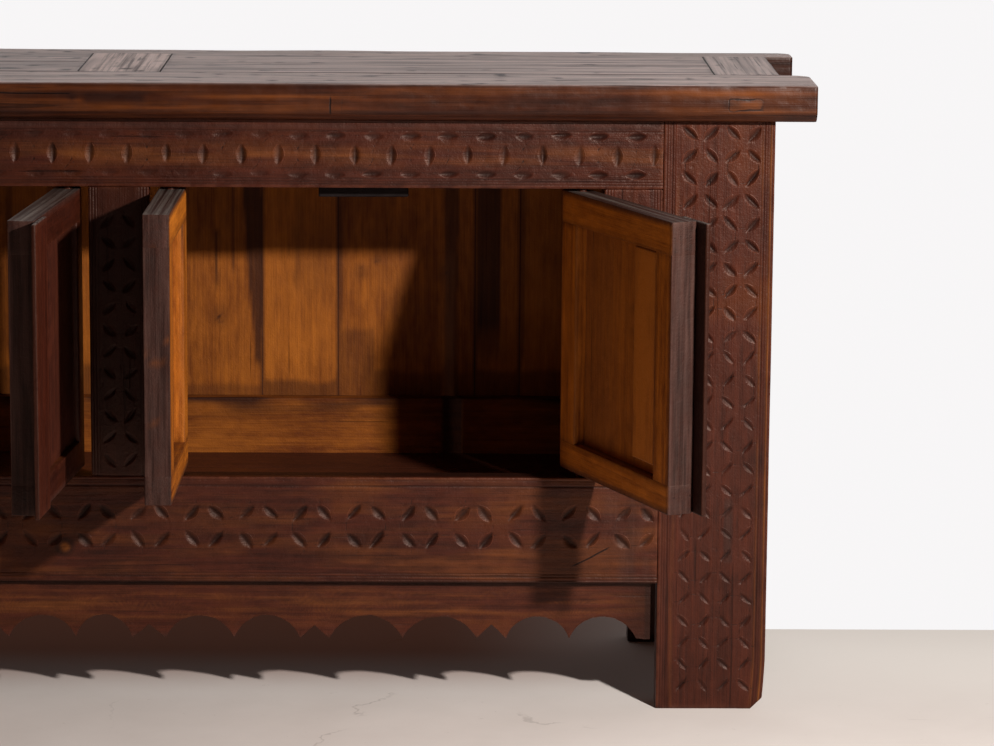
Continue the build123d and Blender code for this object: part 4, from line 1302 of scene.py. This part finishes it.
def plank_marks(corners, face, board):
    """Add a crack, a split, a let-in patch, a knot, a dark stain and a painted highlight to the front of the top.
    """
    x, z = corners[:, 0], corners[:, 2]
    ragged = smooth_noise(corners, 90, board.seed + 21)
    patch = np.maximum(np.abs(x - PATCH_X) - 0.0225, np.abs(z - PATCH_Z) - 0.0085)
    patch += 0.002 * ragged + 0.0015 * smooth_noise(corners, 260, board.seed + 22)
    at_patch = np.abs(x - PATCH_X) < 0.05
    at_split = np.abs(x - SPLIT_X) < 0.015
    cracked = np.where(at_split, share((0.833 - z) / 0.003), x < -0.061)
    inside = share(-patch / 0.004)
    dents = share(1.1 - np.hypot((x - 0.806) / 0.012, (z - 0.824) / 0.008) + 0.5 * ragged)
    # Painted highlight: a pale bare streak above the patch.
    glint = share(1 - np.hypot((x - 0.822) / 0.030, (z - 0.8395) / 0.004) + 0.3 * ragged)
    stain = share((0.045 - np.abs(x + 0.0025)) / 0.01) * share((0.009 - np.abs(z - 0.830)) / 0.004)
    knot = share(1.3 - np.hypot(x + 0.057, z - 0.831) / 0.006)
    layers = board.layers
    layers["crack"] = np.where(at_patch, patch, np.where(at_split, x - SPLIT_X, z - 0.835))
    layers["cracked"] = np.where(at_patch, np.clip(0.75 + 0.8 * ragged, 0, 0.9), cracked) * face
    layers["raw"] = share(layers["raw"] * (1 - stain) + (0.8 * inside + glint) * face)
    layers["dark"] = share(layers["dark"] * (1 - inside) + face * (0.8 * dents + 0.7 * stain + knot))


def field_layers(corners, board):
    """Gray face, worn edges and dark joints of the clamps and boards of the top."""
    top_face = share((corners[:, 2] - board.high[2] + 0.002) / 0.002)
    lighter = 1.3 if "center" in board.name else 0.82
    marks = top_marks(corners if board.along == 0 else corners[:, [1, 0, 2]], board.seed)
    return {"gray": top_face * lighter, "worn": board.nearness(corners, 0.006),
            "dark": share(1.1 * board.nearness(corners, 0.0025) + marks)}


class CABINET_OT_table_top(bpy.types.Operator):
    """Build the table top from its horned planks, clamps and field boards"""

    bl_idname = "cabinet.table_top"
    bl_label = "Table Top"

    def execute(self, context):
        for level, side in (("front", -1), ("rear", 1)):
            node = f"top_{level}_plank"
            place(f"top_plank_{level}", top_plank(f"top_plank_{level}", node, side), "top_wood", node)
        front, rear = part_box("top_front_plank")[1].y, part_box("top_rear_plank")[0].y
        clamps = {hand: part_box(f"top_clamp_{hand}") for hand in ("left", "center", "right")}
        for hand, (low, high) in clamps.items():
            node = f"top_clamp_{hand}"
            data = box_board(node + "_board", (low.x, front, low.z), (high.x, rear, high.z), 1,
                             step=0.006, radius=0.0016, layers=field_layers)
            place(node + "_board", data, "top_wood", node)
        for hand, first, last in (("left", "left", "center"), ("right", "center", "right")):
            start, end = clamps[first][1].x, clamps[last][0].x
            for count in (1, 2):
                node = f"top_board_{hand}_{count}"
                low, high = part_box(node)
                data = box_board(node + "_wood", (start, low.y, low.z), (end, high.y, high.z), 0,
                                 step=0.006, radius=0.0014, layers=field_layers)
                place(node + "_wood", data, "top_wood", node)
        return {"FINISHED"}


# ----------------------------------------------------------------------- carcass

BACK_LAP = 0.0012


def back_boards(node):
    """Boxes of the back boards in a CAD node, from left to right, with a slight lap."""
    low, high = (np.array(corner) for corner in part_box(node))
    edges = np.unique([round(vertex.co.x, 4) for vertex in frame["nodes"][node].data.vertices])
    return [((max(start - BACK_LAP, low[0]), *low[1:]), (min(end + BACK_LAP, high[0]), *high[1:]))
            for start, end in zip(edges, edges[1:])]


def solids(node):
    """Boxes of the separate solids in a CAD node, from left to right."""
    data = frame["nodes"][node].data
    corners = np.array([vertex.co for vertex in data.vertices])
    spans = []
    for start, end in sorted(sorted(corners[list(edge), 0]) for edge in data.edge_keys):
        if spans and start <= spans[-1][1]:
            spans[-1][1] = max(end, spans[-1][1])
        else:
            spans.append([start, end])
    groups = [corners[(corners[:, 0] >= start) & (corners[:, 0] <= end)] for start, end in spans]
    return [(group.min(0), group.max(0)) for group in groups]


def all_raw(corners, board):
    """Bare wood all over, with darker edges."""
    return {"raw": np.ones(len(corners)), "dark": 0.35 * board.nearness(corners, 0.006)}


# Dark heart streaks in the back boards, and one band of painted shade, in metres: middle and half
# width at its upper end, the same at its lower end, the two heights, and how dark it is
HEARTWOOD_AND_SHADE = (
    (0.1570, 0.0150, 0.1680, 0.0020, 0.68, 0.392, 0.85),
    (0.1070, 0.0028, 0.1080, 0.0012, 0.59, 0.505, 0.8),
    (0.1300, 0.0024, 0.1315, 0.0012, 0.80, 0.530, 0.6),
    (0.4935, 0.0185, 0.4935, 0.0175, 0.80, 0.400, 0.85),
    # This band is painted shade over the strip where light leaks past the hinge of the right door.
    (0.4410, 0.0100, 0.4410, 0.0090, 0.80, 0.300, 0.75),
    (0.2890, 0.0030, 0.2830, 0.0020, 0.80, 0.370, 0.4),
    (0.5440, 0.0040, 0.5430, 0.0030, 0.80, 0.400, 0.5),
    (0.4300, 0.0060, 0.4340, 0.0020, 0.80, 0.560, 0.35),
    (0.2300, 0.0100, 0.2200, 0.0030, 0.80, 0.500, 0.25),
    (0.6100, 0.0120, 0.6050, 0.0040, 0.80, 0.450, 0.5),
    (0.3500, 0.0160, 0.3500, 0.0080, 0.80, 0.600, 0.3),
)
BACK_KNOTS = ((0.1114, 0.470, 0.008), (0.3114, 0.537, 0.006), (0.434, 0.536, 0.009), (0.3354, 0.554, 0.004),
              (0.620, 0.610, 0.008))
# Stained places on the back boards: both sides, upper limit and strength
STAINS = ((0.173, 0.279, 0.384, 0.55), (0.281, 0.331, 0.458, 0.4), (0.281, 0.474, 0.395, 0.4),
          (0.033, 0.171, 0.374, 0.4), (0.476, 0.700, 0.400, 0.5))
# Tones of the back boards, from the middle outwards: outer side and tone
BACK_TONES = ((0.172, -0.7), (0.280, 0.3), (0.475, -0.8), (0.539, -0.2), (0.9, 0.8))
# The back of the left half repeats that of the right half at this distance
BACK_REPEAT = 0.73


def heartwood_and_shade(x, z, ragged):
    """Dark streaks on the back boards from the heart of the log, and one band of painted shade."""
    dark = np.zeros(len(x))
    for x_high, half_high, x_low, half_low, high, low, strength in HEARTWOOD_AND_SHADE:
        part = share((high - z) / (high - low))
        middle = x_high + (x_low - x_high) * part
        half = half_low + (half_high - half_low) * (1 - part) ** 0.6
        inside = share((half + 0.0012 * ragged - np.abs(x - middle)) / 0.003 + 0.5)
        fade = share((z - low) / (0.012 + 3 * half_low)) * share((high - z) / 0.01 + 1)
        dark = np.maximum(dark, inside * fade * strength)
    return dark


def back_knots(x, z, ragged):
    """Rings and dark hearts of the knots in the back boards."""
    dark = np.zeros(len(x))
    for knot_x, knot_z, radius in BACK_KNOTS:
        gap = np.hypot(x - knot_x, (z - knot_z) * 0.8) / radius
        ring = share(1 - np.abs(gap - 0.75 + 0.2 * ragged) / 0.3) * 0.6
        core = np.maximum(share(1.3 - gap * 2.4), 0.3 * share(1.6 - gap * 0.7))
        dark = np.maximum(dark, np.maximum(ring, core))
    return dark


def back_marks(corners, board):
    """Heartwood, knots, joints, stained ends and a band of painted shade on a back board."""
    x = np.where(corners[:, 0] > 0.03, corners[:, 0], corners[:, 0] + BACK_REPEAT)
    z = corners[:, 2]
    ragged = smooth_noise(corners * [1, 1, 0.3], 130, 5) + 0.5 * smooth_noise(corners * [1, 1, 0.15], 320, 6)
    gap = np.minimum(corners[:, 0] - board.low[0], board.high[0] - corners[:, 0])
    dark = np.maximum(share(1.6 - gap / 0.0022), heartwood_and_shade(x, z, ragged))
    dark = np.maximum(dark, back_knots(x, z, ragged))
    edge = 0.0015 * ragged + 0.006 * smooth_noise(corners * [1, 1, 0.4], 30, 8)
    for start, end, high, strength in STAINS:
        inside = share(np.minimum(x - start, end - x) / 0.003 + 0.5) * share((high - z + edge) / 0.008)
        dark = np.maximum(dark, inside * strength)
    dark *= near(corners[:, 1] - board.low[1], 0.006)
    cloud = np.clip(0.5 * smooth_noise(corners * [1, 1, 0.45], 17, 9) - 0.1, 0, 0.35)
    middle = (board.low[0] + board.high[0]) / 2
    middle += BACK_REPEAT if middle < 0 else 0
    tone = next(tone for side, tone in BACK_TONES if middle < side)
    return {"raw": np.ones(len(x)), "dark": share(dark + cloud), "tone": np.full(len(x), tone)}


def rail_marks(corners, board):
    """Bare wood with dark streaks along its upper edge, and a band of painted shade where light leaks past the
    hinge of the right door.
    """
    streaks = smooth_noise(corners * [0.12, 1, 1], 130, board.seed)
    upper = near(board.high[2] - corners[:, 2], 0.04)
    dark = share(upper * (0.35 + 0.8 * streaks)) + 0.5 * board.nearness(corners, 0.004)
    # Painted shade: a dark band over the strip where light leaks past the hinge of the right door.
    dark += 0.9 * share((0.017 - np.abs(corners[:, 0] - 0.444)) / 0.003)
    return {"raw": np.ones(len(corners)), "dark": share(dark)}


def floor_marks(corners, board):
    """Dull red-brown floor, with black painted shade in the gap where it meets the rail."""
    # Painted shade: black in the gap where the floor meets the front rail.
    ledge_shade = share((0.042 - corners[:, 1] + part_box("front_bottom_rail")[1].y) / 0.002)
    return {"raw": np.full(len(corners), 0.05), "dark": 0.05 + 0.5 * board.nearness(corners, 0.004),
            "cut": ledge_shade}


def rear_post_marks(corners, board):
    """Stained outside and bare towards the inside of the cabinet, with painted shade over its foot."""
    inside = share((board.high[1] - corners[:, 1]) / 0.006)
    # Painted shade over the foot, below the floor of the cabinet.
    foot = share((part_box("floor_bearers")[0].z - corners[:, 2]) / 0.02)
    return {"raw": inside * 0.7 * (1 - foot), "dark": 0.8 * foot}


def side_marks(corners, board):
    """Stained on the outer side and bare on the inner side."""
    outside = (corners[:, 0] - board.low[0]) / (board.high[0] - board.low[0])
    if board.low[0] < 0:
        outside = 1 - outside
    return {"raw": near(outside * 3, 1)}


class CABINET_OT_carcass_boards(bpy.types.Operator):
    """Build the back, the sides, the floor and the other plain boards of the carcass"""

    bl_idname = "cabinet.carcass_boards"
    bl_label = "Carcass Boards"

    def execute(self, context):
        for hand in ("left", "right"):
            self.rear_post(hand)
            self.back(hand)
            self.side(hand)
        for level in ("top", "bottom"):
            self.rear_rail(level)
        for count in (1, 2, 3):
            node = f"floor_board_{count}"
            name = f"floor_plank_{count}"
            place(name, box_board(name, *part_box(node), 0, step=0.008, layers=floor_marks), "inner_wood", node)
        self.row("bearers", "floor_bearers", 1, "inner_wood", all_raw)
        self.row("stops", "door_stops", 0, "stop_wood", None)
        return {"FINISHED"}

    def rear_post(self, hand):
        """Build one rear post."""
        name = f"rear_post_{hand}"
        node = f"post_rear_{hand}"
        place(name, box_board(name, *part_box(node), 2, layers=rear_post_marks), "stained_wood", node)

    def back(self, hand):
        """Build the back boards of one half."""
        node = f"back_boards_{hand}"
        meshes = [box_board(f"back_board_{hand}_{count}", low, high, 2,
                            step=0.004, radius=0.0016, layers=back_marks)
                  for count, (low, high) in enumerate(back_boards(node))]
        place(f"back_{hand}", joined(f"back_{hand}", meshes), "inner_wood", node)

    def rear_rail(self, level):
        """Build a rear rail from post to post."""
        node = f"rear_{level}_rail"
        name = f"rear_rail_{level}"
        low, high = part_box(node)
        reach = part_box("post_rear_right")[0].x
        data = box_board(name, (-reach, low.y, low.z), (reach, high.y, high.z), 0,
                         step=0.006, layers=rail_marks)
        place(name, data, "inner_wood", node)

    def row(self, name, node, along, slot, layers):
        """Build a piece from the separate boards of one node."""
        meshes = [box_board(f"{name}_{count}", low, high, along, layers=layers)
                  for count, (low, high) in enumerate(solids(node))]
        place(name, joined(name, meshes), slot, node)

    def side(self, hand):
        """Build the rails and the panel of one side, from front post to rear post."""
        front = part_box(f"post_front_{hand}")[1].y
        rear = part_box(f"post_rear_{hand}")[0].y
        top, bottom = (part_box(f"side_{level}_rail_{hand}") for level in ("top", "bottom"))
        for level, (low, high) in (("top", top), ("bottom", bottom)):
            node = f"side_{level}_rail_{hand}"
            data = box_board(node + "_wood", (low.x, front, low.z), (high.x, rear, high.z), 1,
                             layers=side_marks)
            place(node + "_wood", data, "stained_wood", node)
        node = f"side_panel_{hand}"
        low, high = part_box(node)
        data = box_board(node + "_wood", (low.x, front, bottom[1].z), (high.x, rear, top[0].z), 1,
                         radius=0.001, layers=side_marks)
        place(node + "_wood", data, "inner_wood", node)


# ------------------------------------------------------------------------- doors

SCRATCHED_DOOR = "door_3"
BATTEN_TONE = 2.9
NOSE_RADIUS = 0.0158
PINTLE_RADIUS = 0.0059
PINTLE_SIDES = 24


class Door:
    """One framed door, made in its closed place and turned to where it stands."""

    def __init__(self, body, joint):
        nodes = frame["record"]["behaviour"]["bodies"][body]
        self.body = body
        self.key = nodes[0][:6]
        self.pivot = Matrix.Translation(joint["pos_m"])
        opened = Matrix.Rotation(math.radians(-joint["range_deg"][0]), 4, joint["axis"])
        self.turn = self.pivot @ opened @ self.pivot.inverted()
        self.hinge_place = joint["pos_m"]
        self.hinge_left = joint["axis"][2] < 0
        closed = self.turn.inverted()
        self.boxes = {}
        for node in nodes:
            corners = np.array([closed @ vertex.co for vertex in frame["nodes"][node].data.vertices])
            self.boxes[node[len(self.key) + 1:]] = (corners.min(0), corners.max(0))
        (self.left, self.front, self.high), (self.right, self.back, self.top) = self.boxes["top_rail"]
        self.base, self.low = (corner[2] for corner in self.boxes["bottom_rail"])

    def layers(self, corners, board):
        """Stained outside, bare inside, and gray on the edges of the door."""
        inside = share((corners[:, 1] - self.boxes["panel"][1][1] + 0.006) / 0.004)
        end = near(np.abs(corners[:, 0] - (self.right if self.hinge_left else self.left)), 0.003)
        upper = near(self.top - corners[:, 2], 0.003)
        lower = near(corners[:, 2] - self.base, 0.003)
        weather = share(end + upper + lower)
        scratch = (self.key == SCRATCHED_DOOR) * end * self.scratches(corners, board)
        layers = {"raw": inside * (1 - weather) + 0.5 * scratch, "gray": weather * (1 - 0.6 * scratch),
                  "dark": 0.5 * board.nearness(corners, 0.004) * inside * (1 - weather)}
        if board.name.endswith("lip"):
            layers.update(self.lip_layers(corners, board, upper))
        elif board.name.endswith("batten"):
            layers["tone"] = np.full(len(corners), BATTEN_TONE)
        elif board.name.endswith("panel"):
            layers.update(self.panel_layers(corners, board, inside))
        return layers

    def scratches(self, corners, board):
        """Pale slanting scratches."""
        slant = (corners[:, 2] + 2.2 * corners[:, 1]) * 0.9
        place_on_edge = np.column_stack([slant, corners[:, 2] * 0.12, corners[:, 1]])
        return share(3 * smooth_noise(place_on_edge, 90, board.seed + 5) - 1.6)

    def lip_layers(self, corners, board, upper):
        """Dark outer rim of the lapping strip, painted shade on its inner face, and a gray top."""
        outer = board.high[0] if self.hinge_left else board.low[0]
        rim = near(np.abs(corners[:, 0] - outer), 0.0025)
        # Painted shade: the inner face of the strip, which faces away from the lamp, darkened almost black.
        painted_lip_shade = share((corners[:, 1] - board.high[1] + 0.004) / 0.003)
        return {"gray": upper, "dark": 0.75 * rim * (1 - upper),
                "cut": 0.85 * painted_lip_shade * (1 - rim) * (1 - upper)}

    def panel_layers(self, corners, board, inside):
        """Dark marks across the middle of the panel, and gray near the hinge."""
        hinge_gap = np.abs(corners[:, 0] - self.pivot.translation.x)
        marks = smooth_noise(corners * [1, 1, 9], 30, board.seed) + smooth_noise(corners * [1, 1, 5], 110, 3)
        where = near(np.abs(hinge_gap - 0.17), 0.05) * share(0.5 + smooth_noise(corners, 14, 2))
        return {"dark": np.clip(1.5 * marks, 0, 0.85) * where * inside, "tone": 0.9 + 2.2 * marks * where,
                "gray": 0.3 * share((0.13 - hinge_gap) / 0.03) * inside}

    def nosed(self, part, left, right, low, high, along):
        """Make a board of the door whose hinge edge has a rounded outer arris."""
        nose = (NOSE_RADIUS, 0.002, 0.002, 0.003) if self.hinge_left else (0.002, NOSE_RADIUS, 0.003, 0.002)
        outline = rounded_outline((left, self.front), (right, self.back), nose, 0.006)
        board = Board(f"{self.key}_{part}", (left, self.front, low), (right, self.back, high), along)
        ease = 0.001 if along == 0 else 0.0018
        corners, quads, faces = loft(prism(outline, low, high, ease, 0.008))
        board.layers = self.layers(corners, board)
        board.layers["worn"] = np.maximum(near(high - corners[:, 2], 0.006), near(corners[:, 2] - low, 0.006))
        return board.mesh(corners, quads, faces)

    def boxed(self, part, low, high, radius=0.002):
        """Make a plain upright board of the door."""
        return box_board(f"{self.key}_{part}", low, high, 2, step=0.01, radius=radius, layers=self.layers)

    def pintle(self, low, high):
        """Round pin that the hinge stile is turned down to, above and below the door."""
        x, y, _ = self.hinge_place
        angles = np.linspace(0, 2 * math.pi, PINTLE_SIDES + 1)[:-1]
        ring = np.stack([x + PINTLE_RADIUS * np.cos(angles), y + PINTLE_RADIUS * np.sin(angles)], -1)
        board = Board(f"{self.key}_pin", (x - PINTLE_RADIUS, y - PINTLE_RADIUS, low),
                      (x + PINTLE_RADIUS, y + PINTLE_RADIUS, high), 2)
        return board.mesh(*loft(prism(ring, low, high, 0.0008, 0.02)))

    def hinge_stile(self):
        """Make the hinge stile with its pintles."""
        low, high = self.boxes["hinge_stile"]
        stile = self.nosed("hinge", low[0], high[0], self.low - 0.0015, self.high + 0.0015, 2)
        pin = self.pintle(low[2] + 0.0002, high[2] - 0.0002)
        return joined(f"{self.key}_hinge", [stile, pin])

    def meeting_stile(self):
        """Make the stile at the free edge."""
        low, high = self.boxes["meeting_stile"]
        return self.boxed("meeting", (low[0], self.front, self.low - 0.0024),
                          (high[0], self.back, self.high + 0.0024), radius=0.0016)

    def panel(self):
        """Make the panel."""
        low, high = self.boxes["panel"]
        return self.boxed("panel", (low[0], low[1], self.low - 0.004), (high[0], high[1], self.high + 0.004))

    def batten(self):
        """Make the batten on the inner face."""
        low, high = self.boxes["batten"]
        return self.boxed("batten", low, (high[0], self.back - 0.0006, self.high), radius=0.003)

    def lip(self):
        """Make the lapping strip on the outer face."""
        low, high = self.boxes["lip"]
        return self.boxed("lip", low, (high[0], high[1] - 0.0004, high[2]), radius=0.0022)

    def build(self):
        """Place all the pieces of the door."""
        parts = {"top_rail": self.nosed("top", self.left, self.right, self.high, self.top, 0),
                 "bottom_rail": self.nosed("base", self.left, self.right, self.base, self.low, 0),
                 "hinge_stile": self.hinge_stile(),
                 "meeting_stile": self.meeting_stile(),
                 "panel": self.panel()}
        if "batten" in self.boxes:
            parts.update(batten=self.batten(), lip=self.lip())
        for part, data in parts.items():
            slot = "inner_wood" if part in ("panel", "batten") else "door_wood"
            place(f"{self.key}_{part}_wood", data, slot, f"{self.key}_{part}", self.body, self.turn)


class CABINET_OT_doors(bpy.types.Operator):
    """Build the four framed doors at their rest angles"""

    bl_idname = "cabinet.doors"
    bl_label = "Framed Doors"

    def execute(self, context):
        for body, joint in sorted(JOINTS.items()):
            Door(body, joint).build()
        return {"FINISHED"}


# ------------------------------------------------------------------------- stage

LAMP_PLACE = (1.667, -1.927, 1.44)
LAMP_AIM = (0.25, 0.0, 0.4)
LAMP_SIZE = 0.11
LAMP_COLOR = (1.0, 0.97, 0.93)
CAMERA_PLACE = (0.4188, -5.1012, 1.3966)
CAMERA_TURN, CAMERA_DROP, CAMERA_ROLL = -0.93, 10.48, 0.43
FLOOR_REACH = 30


def floor_material(color, side):
    """Pale mottled floor with hair cracks, with a red-brown painted shadow under and behind the cabinet."""
    material, tree = blank_material("pale_floor")
    room = tree.node("ShaderNodeTexCoord").outputs["Object"]
    x, y, _ = tree.split(room)
    mottle = tree.noise(room, 5.0, 5.0, 0.6)
    speck = tree.noise(room, 45.0, 4.0, 0.7).step(0.66, 0.72)
    wide = tree.noise(room, 1.3, 3.0, 0.5)
    cells = tree.node("ShaderNodeTexVoronoi", {"feature": "DISTANCE_TO_EDGE"}, {
        "Vector": tree.vector(x + mottle * 0.25, y + wide * 0.3, 0.0), "Scale": 1.7})
    hair = (1 - Value(tree, cells.outputs["Distance"]).step(0.0008, 0.003)) * mottle.step(0.52, 0.62)
    # Painted shadow: a mask under and behind the cabinet, where its shadow falls on the floor.
    under = y.step(0.02, 0.28) * (1 - abs(x).step(side - 0.06, side))
    far = x.step(0.4, 1.0) * (y.step(-0.15, 0.3) * 0.85 + 0.15)
    spread = (mottle * 0.4 + speck * 0.3 + wide * 0.2 - 0.1).clamped()
    ground = tree.mix(spread, color, tint(186, 174, 166))
    ground = tree.mix(hair * 0.25, ground, tint(120, 108, 100))
    # Mix in the red-brown painted shadow.
    ground = tree.mix(under * 0.92, ground, tint(142, 88, 65))
    ground = tree.mix(far, ground, tint(255, 249, 243))
    bump = tree.node("ShaderNodeBump", None, {"Strength": 0.3, "Distance": 0.002, "Height": mottle})
    shader = tree.node("ShaderNodeBsdfPrincipled", None, {
        "Base Color": ground, "Roughness": 0.8, "Normal": bump.outputs[0], "Specular IOR Level": 0.0})
    tree.node("ShaderNodeOutputMaterial", None, {"Surface": shader.outputs[0]})
    return material


class CABINET_OT_stage(bpy.types.Operator):
    """Set up the floor, the lamp, the room light and the camera"""

    bl_idname = "cabinet.stage"
    bl_label = "Stage"

    def execute(self, context):
        stage = context.scene.cabinet_stage
        self.floor((*stage.floor_color, 1.0))
        self.lamp(stage.lamp_power)
        self.room(stage.room_light)
        self.camera(stage.lens)
        context.scene.view_settings.view_transform = "Standard"
        return {"FINISHED"}

    def floor(self, color):
        """Lay a wide pale floor that ends just behind the cabinet, and farther back under it."""
        edge = CAD_HIGH[1] + 0.036
        back = CAD_HIGH[1] + 0.26
        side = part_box("post_rear_right")[1].x - 0.004
        reach = FLOOR_REACH
        outline = [(-reach, -reach), (reach, -reach), (reach, edge), (side, edge),
                   (side, back), (-side, back), (-side, edge), (-reach, edge)]
        data = bpy.data.meshes.new("floor")
        data.from_pydata([(x, y, 0) for x, y in outline], [], [tuple(range(8))])
        data.materials.append(floor_material(color, side))
        floor = bpy.data.objects.new("floor", data)
        bpy.context.scene.collection.objects.link(floor)

    def lamp(self, power):
        """Hang one small soft lamp at the front right."""
        light = bpy.data.lights.new("front_lamp", "AREA")
        light.shape = "DISK"
        light.size = LAMP_SIZE
        light.energy = power
        light.color = LAMP_COLOR
        lamp = bpy.data.objects.new("front_lamp", light)
        bpy.context.scene.collection.objects.link(lamp)
        lamp.location = LAMP_PLACE
        lamp.rotation_euler = (Vector(LAMP_AIM) - lamp.location).to_track_quat("-Z", "Y").to_euler()

    def room(self, strength):
        """Light the room softly from the back, with a white background."""
        world = bpy.data.worlds.new("pale_room")
        bpy.context.scene.world = world
        world.use_nodes = True
        world.node_tree.nodes.clear()
        tree = Nodes(world.node_tree)
        rays = tree.node("ShaderNodeLightPath").outputs
        seen = Value(tree, rays["Is Camera Ray"])
        glossy = Value(tree, rays["Is Glossy Ray"])
        _, y, z = tree.split(tree.node("ShaderNodeTexCoord").outputs["Generated"])
        mirrored = y.step(-0.2, 0.5) * z.step(-0.05, 0.05) * 0.85 + 0.05
        spread = y.step(0.0, 0.8) * z.step(0.02, 0.4) * strength + 0.065
        power = seen + (1 - seen) * (glossy * mirrored + (1 - glossy) * spread)
        tone = tree.mix(seen.most(y.step(-0.1, 0.5)), (1.0, 0.66, 0.54, 1.0), (0.935, 0.92, 0.925, 1.0))
        back = tree.node("ShaderNodeBackground", None, {"Color": tone, "Strength": power})
        tree.node("ShaderNodeOutputWorld", None, {"Surface": back.outputs[0]})

    def camera(self, lens):
        """Stand the camera to the right of the middle, looking slightly down."""
        data = bpy.data.cameras.new("camera")
        data.lens = lens
        data.sensor_width = 36.0
        data.clip_end = 200.0
        camera = bpy.data.objects.new("camera", data)
        bpy.context.scene.collection.objects.link(camera)
        turn = Matrix.Rotation(math.radians(CAMERA_TURN), 4, "Z")
        drop = Matrix.Rotation(math.radians(90 - CAMERA_DROP), 4, "X")
        roll = Matrix.Rotation(math.radians(CAMERA_ROLL), 4, "Z")
        camera.matrix_world = Matrix.Translation(CAMERA_PLACE) @ (turn @ drop @ roll)
        bpy.context.scene.camera = camera


# ----------------------------------------------------------------------- sidebar

class CABINET_PT_sidebar(bpy.types.Panel):
    """Buttons and sizes of the cabinet"""

    bl_label = "Carved Cabinet"
    bl_idname = "CABINET_PT_sidebar"
    bl_space_type = "VIEW_3D"
    bl_region_type = "UI"
    bl_category = "Cabinet"

    def draw(self, context):
        for group in ("cabinet_carving", "cabinet_finish", "cabinet_stage"):
            box = self.layout.box()
            settings = getattr(context.scene, group)
            for name in settings.__annotations__:
                box.prop(settings, name)
        for operator in OPERATORS:
            self.layout.operator(operator.bl_idname)


OPERATORS = (CABINET_OT_stage, CABINET_OT_carved_front, CABINET_OT_apron, CABINET_OT_table_top,
             CABINET_OT_carcass_boards, CABINET_OT_doors)
CLASSES = (CarvingSettings, FinishSettings, StageSettings, *OPERATORS, CABINET_PT_sidebar)


def register():
    """Register the classes and the settings."""
    for item in CLASSES:
        bpy.utils.register_class(item)
    bpy.types.Scene.cabinet_carving = PointerProperty(type=CarvingSettings)
    bpy.types.Scene.cabinet_finish = PointerProperty(type=FinishSettings)
    bpy.types.Scene.cabinet_stage = PointerProperty(type=StageSettings)


def unregister():
    """Remove the settings and the classes."""
    del bpy.types.Scene.cabinet_stage
    del bpy.types.Scene.cabinet_finish
    del bpy.types.Scene.cabinet_carving
    for item in reversed(CLASSES):
        bpy.utils.unregister_class(item)


def main():
    """Build the whole cabinet and its stage."""
    register()
    bpy.ops.cabinet.stage()
    bpy.ops.cabinet.carved_front()
    bpy.ops.cabinet.apron()
    bpy.ops.cabinet.table_top()
    bpy.ops.cabinet.carcass_boards()
    bpy.ops.cabinet.doors()


if __name__ == "__main__":
    main()
